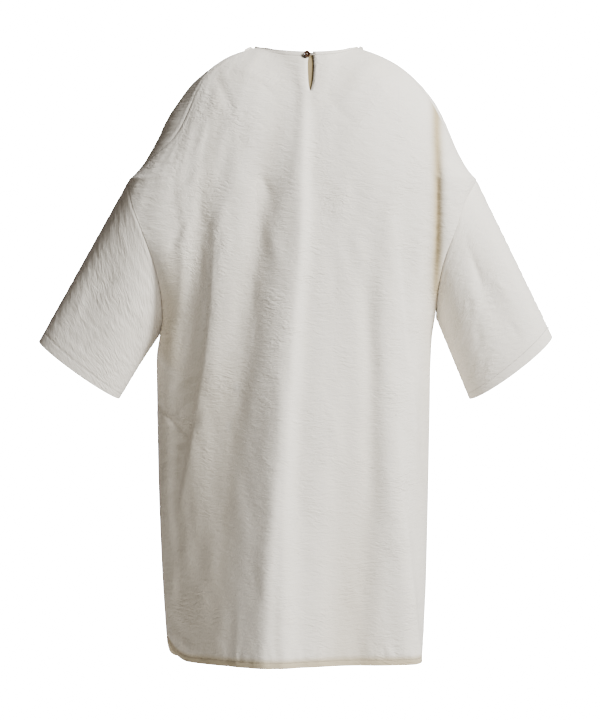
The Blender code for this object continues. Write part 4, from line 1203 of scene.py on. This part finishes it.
def tube(name, points, radius, material, around=8):
    # a round thread through a few points, smoothed
    points = np.array(points)
    reach = np.concatenate([[0], np.cumsum(np.linalg.norm(np.diff(points, axis=0), axis=1))])
    steps = np.linspace(0, reach[-1], max(12, int(reach[-1] / radius * 1.6)))
    line = np.stack([hermite(reach, points[:, axis], steps) for axis in range(3)], axis=-1)
    curve = bpy.data.curves.new(name, "CURVE")
    curve.dimensions = "3D"
    curve.bevel_depth = radius
    curve.bevel_resolution = around // 2 - 1
    curve.use_fill_caps = True
    spline = curve.splines.new("POLY")
    spline.points.add(len(line) - 1)
    for point, place in zip(spline.points, line):
        point.co = (*place, 1)
    raw = bpy.data.objects.new(name + "Line", curve)
    bpy.context.scene.collection.objects.link(raw)
    mesh = bpy.data.meshes.new_from_object(raw.evaluated_get(bpy.context.evaluated_depsgraph_get()))
    bpy.data.objects.remove(raw)
    bm = bmesh.new()
    bm.from_mesh(mesh)
    bmesh.ops.remove_doubles(bm, verts=bm.verts[:], dist=1e-7)
    return dress(bm, name, material)


threadLook = {"colour": (0.72, 0.66, 0.54), "wide": 0.00016, "loopWide": 0.00045}


def threadFinish(name, colour):
    f = Finish(name, colour, 0.8)
    at = f.node("ShaderNodeTexCoord", None, None, 3)
    twist = f.node("ShaderNodeTexWave", {"wave_type": "BANDS", "bands_direction": "DIAGONAL"},
                   {"Vector": at, "Scale": 900.0, "Distortion": 2.0})
    shade = f.blend(twist * 0.5, (*colour, 1), (colour[0] * 0.75, colour[1] * 0.72, colour[2] * 0.66, 1))
    f.put("Base Color", shade)
    f.put("Normal", f.node("ShaderNodeBump", None, {"Strength": 0.7, "Distance": 0.0001, "Height": twist}))
    return f.material


threadMaterial = threadFinish("paleThread", threadLook["colour"])
neckButton = buttonPiece()
high = buttonLook["lift"] + buttonLook["thick"] - 0.0009
for number, (sign, lift) in enumerate(((1, 0.0), (-1, 0.00025))):
    a = buttonLook["holeAt"] * math.sqrt(0.5)
    ends = ((-a, -a * sign, high - 0.0011), (-a * 0.8, -a * 0.8 * sign, high + 0.00005 + lift),
            (0, 0, high + 0.0002 + lift),
            (a * 0.8, a * 0.8 * sign, high + 0.00005 + lift), (a, a * sign, high - 0.0011))
    cross = tube(f"buttonThread{number + 1}", [onButton(*place) for place in ends], threadLook["wide"],
                 threadMaterial, 6)
    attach(cross, "root")
shank = tube("buttonShank", [onButton(0, 0, -0.0006), onButton(0, 0, 0.0004), onButton(0, 0, 0.0012),
                             onButton(0, 0, 0.0018)],
             0.0010, threadMaterial, 10)
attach(shank, "root")

centre, loopAcross, loopAlong, loopOut = placeAt(0.006, 0.0164, 0.0013, 1)
farEdge = placeAt(-0.004, 0.0164, 0.0013, -1)[0]
reach = float(np.dot(farEdge - centre, loopAcross))
level = float(np.dot(farEdge - centre, loopOut))
loopPoints = [(reach * 1.25, -0.0009, level - 0.0006), (reach, -0.0012, level),
              (reach * 0.5, -0.0021, level * 0.4)]
for degrees in range(-90, 91, 15):
    angle = math.radians(degrees)
    loopPoints.append((-math.copysign(1, reach) * 0.0024 * math.cos(angle), 0.0024 * math.sin(angle), 0))
loopPoints += [(reach * 0.5, 0.0021, level * 0.4), (reach, 0.0012, level),
               (reach * 1.25, 0.0009, level - 0.0006)]
loopLine = [Vector(centre + loopAcross * a + loopAlong * b + loopOut * c) for a, b, c in loopPoints]
threadLoop = tube("threadLoop", loopLine, threadLook["loopWide"], threadMaterial, 10)
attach(threadLoop, "root")
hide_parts("button_loop")
print("manteau: button and loop made")

sheets = {
    # piece: flat width and length, flat area, what it hangs from
    "backCloth": ((0.78, 1.00), 0.60, ["frontCloth"]),
    "frontCloth": ((0.82, 0.92), 0.62, ["backCloth"]),
    "leftSleeveCloth": ((0.56, 0.34), 0.115, ["backCloth", "frontCloth"]),
    "rightSleeveCloth": ((0.54, 0.36), 0.11, ["backCloth", "frontCloth"]),
    "backNeckFacing": ((0.33, 0.09), 0.0245, ["backCloth"]),
    "slitUnderlap": ((0.060, 0.080), 0.0046, ["backNeckFacing"]),
    "leftPocketBag": ((0.075, 0.13), 0.0062, ["backCloth"]),
    "rightPocketBag": ((0.075, 0.13), 0.0062, ["backCloth"]),
}
for name, (flat, area, holders) in sheets.items():
    mesh = bpy.data.objects[name].data
    areas = np.zeros(len(mesh.polygons))
    mesh.polygons.foreach_get("area", areas)
    print("manteau:", name, "half of its surface", round(float(areas.sum()) / 2, 4), "faces", len(areas))

# the studio: a pale floor well below the hem, soft light mostly from the picture's right
studio = {
    "floorDrop": 1.42, "floorRadius": 2.4,
    "world": 0.078, "backdrop": 30.0,
    "key": {"place": (-2.40, 2.06, 1.92), "size": 1.2, "power": 450, "colour": (0.97, 0.985, 1.0)},
    "fill": {"place": (0.6, 4.4, 0.2), "size": 2.5, "power": 3, "colour": (1.0, 0.93, 0.84)},
    "top": {"place": (-0.6, 0.8, 2.4), "size": 1.6, "power": 8, "colour": (1.0, 0.96, 0.90)},
}
bm = bmesh.new()
bmesh.ops.create_circle(bm, cap_ends=True, segments=96, radius=studio["floorRadius"])
bmesh.ops.translate(bm, verts=bm.verts[:], vec=(0, 0, -studio["floorDrop"]))
floorFinish = Finish("studioFloor", (0.86, 0.84, 0.80), 0.75)
paper = floorFinish.node("ShaderNodeTexCoord", None, None, 3)
paper = floorFinish.node("ShaderNodeTexNoise", None, {"Vector": paper, "Scale": 60.0, "Detail": 3.0})
floorFinish.put("Roughness", paper * 0.10 + 0.70)
mesh = bpy.data.meshes.new("studioFloor")
bm.to_mesh(mesh)
bm.free()
floor = bpy.data.objects.new("studioFloor", mesh)
mesh.materials.append(floorFinish.material)
bpy.context.scene.collection.objects.link(floor)
for name in ("key", "fill", "top"):
    lamp = bpy.data.lights.new(name + "Light", "AREA")
    lamp.shape = "DISK"
    lamp.size = studio[name]["size"]
    lamp.energy = studio[name]["power"]
    lamp.color = studio[name]["colour"]
    lampObject = bpy.data.objects.new(name + "Light", lamp)
    lampObject.location = studio[name]["place"]
    lampObject.rotation_euler = (Vector((0, 0, -0.45)) - Vector(studio[name]["place"])).to_track_quat("-Z",
        "Y").to_euler()
    bpy.context.scene.collection.objects.link(lampObject)
world = bpy.data.worlds.new("studioWorld")
world.use_nodes = True
sky = world.node_tree
sky.nodes["Background"].inputs["Color"].default_value = (1.0, 0.88, 0.74, 1)
sky.nodes["Background"].inputs["Strength"].default_value = studio["world"]
white = sky.nodes.new("ShaderNodeBackground")       # what the camera sees round the garment
white.inputs["Color"].default_value = (1.0, 1.0, 1.0, 1)
white.inputs["Strength"].default_value = studio["backdrop"]
seen = sky.nodes.new("ShaderNodeLightPath")
either = sky.nodes.new("ShaderNodeMixShader")
sky.links.new(seen.outputs["Is Camera Ray"], either.inputs[0])
sky.links.new(sky.nodes["Background"].outputs[0], either.inputs[1])
sky.links.new(white.outputs[0], either.inputs[2])
sky.links.new(either.outputs[0], sky.nodes["World Output"].inputs["Surface"])
bpy.context.scene.world = world
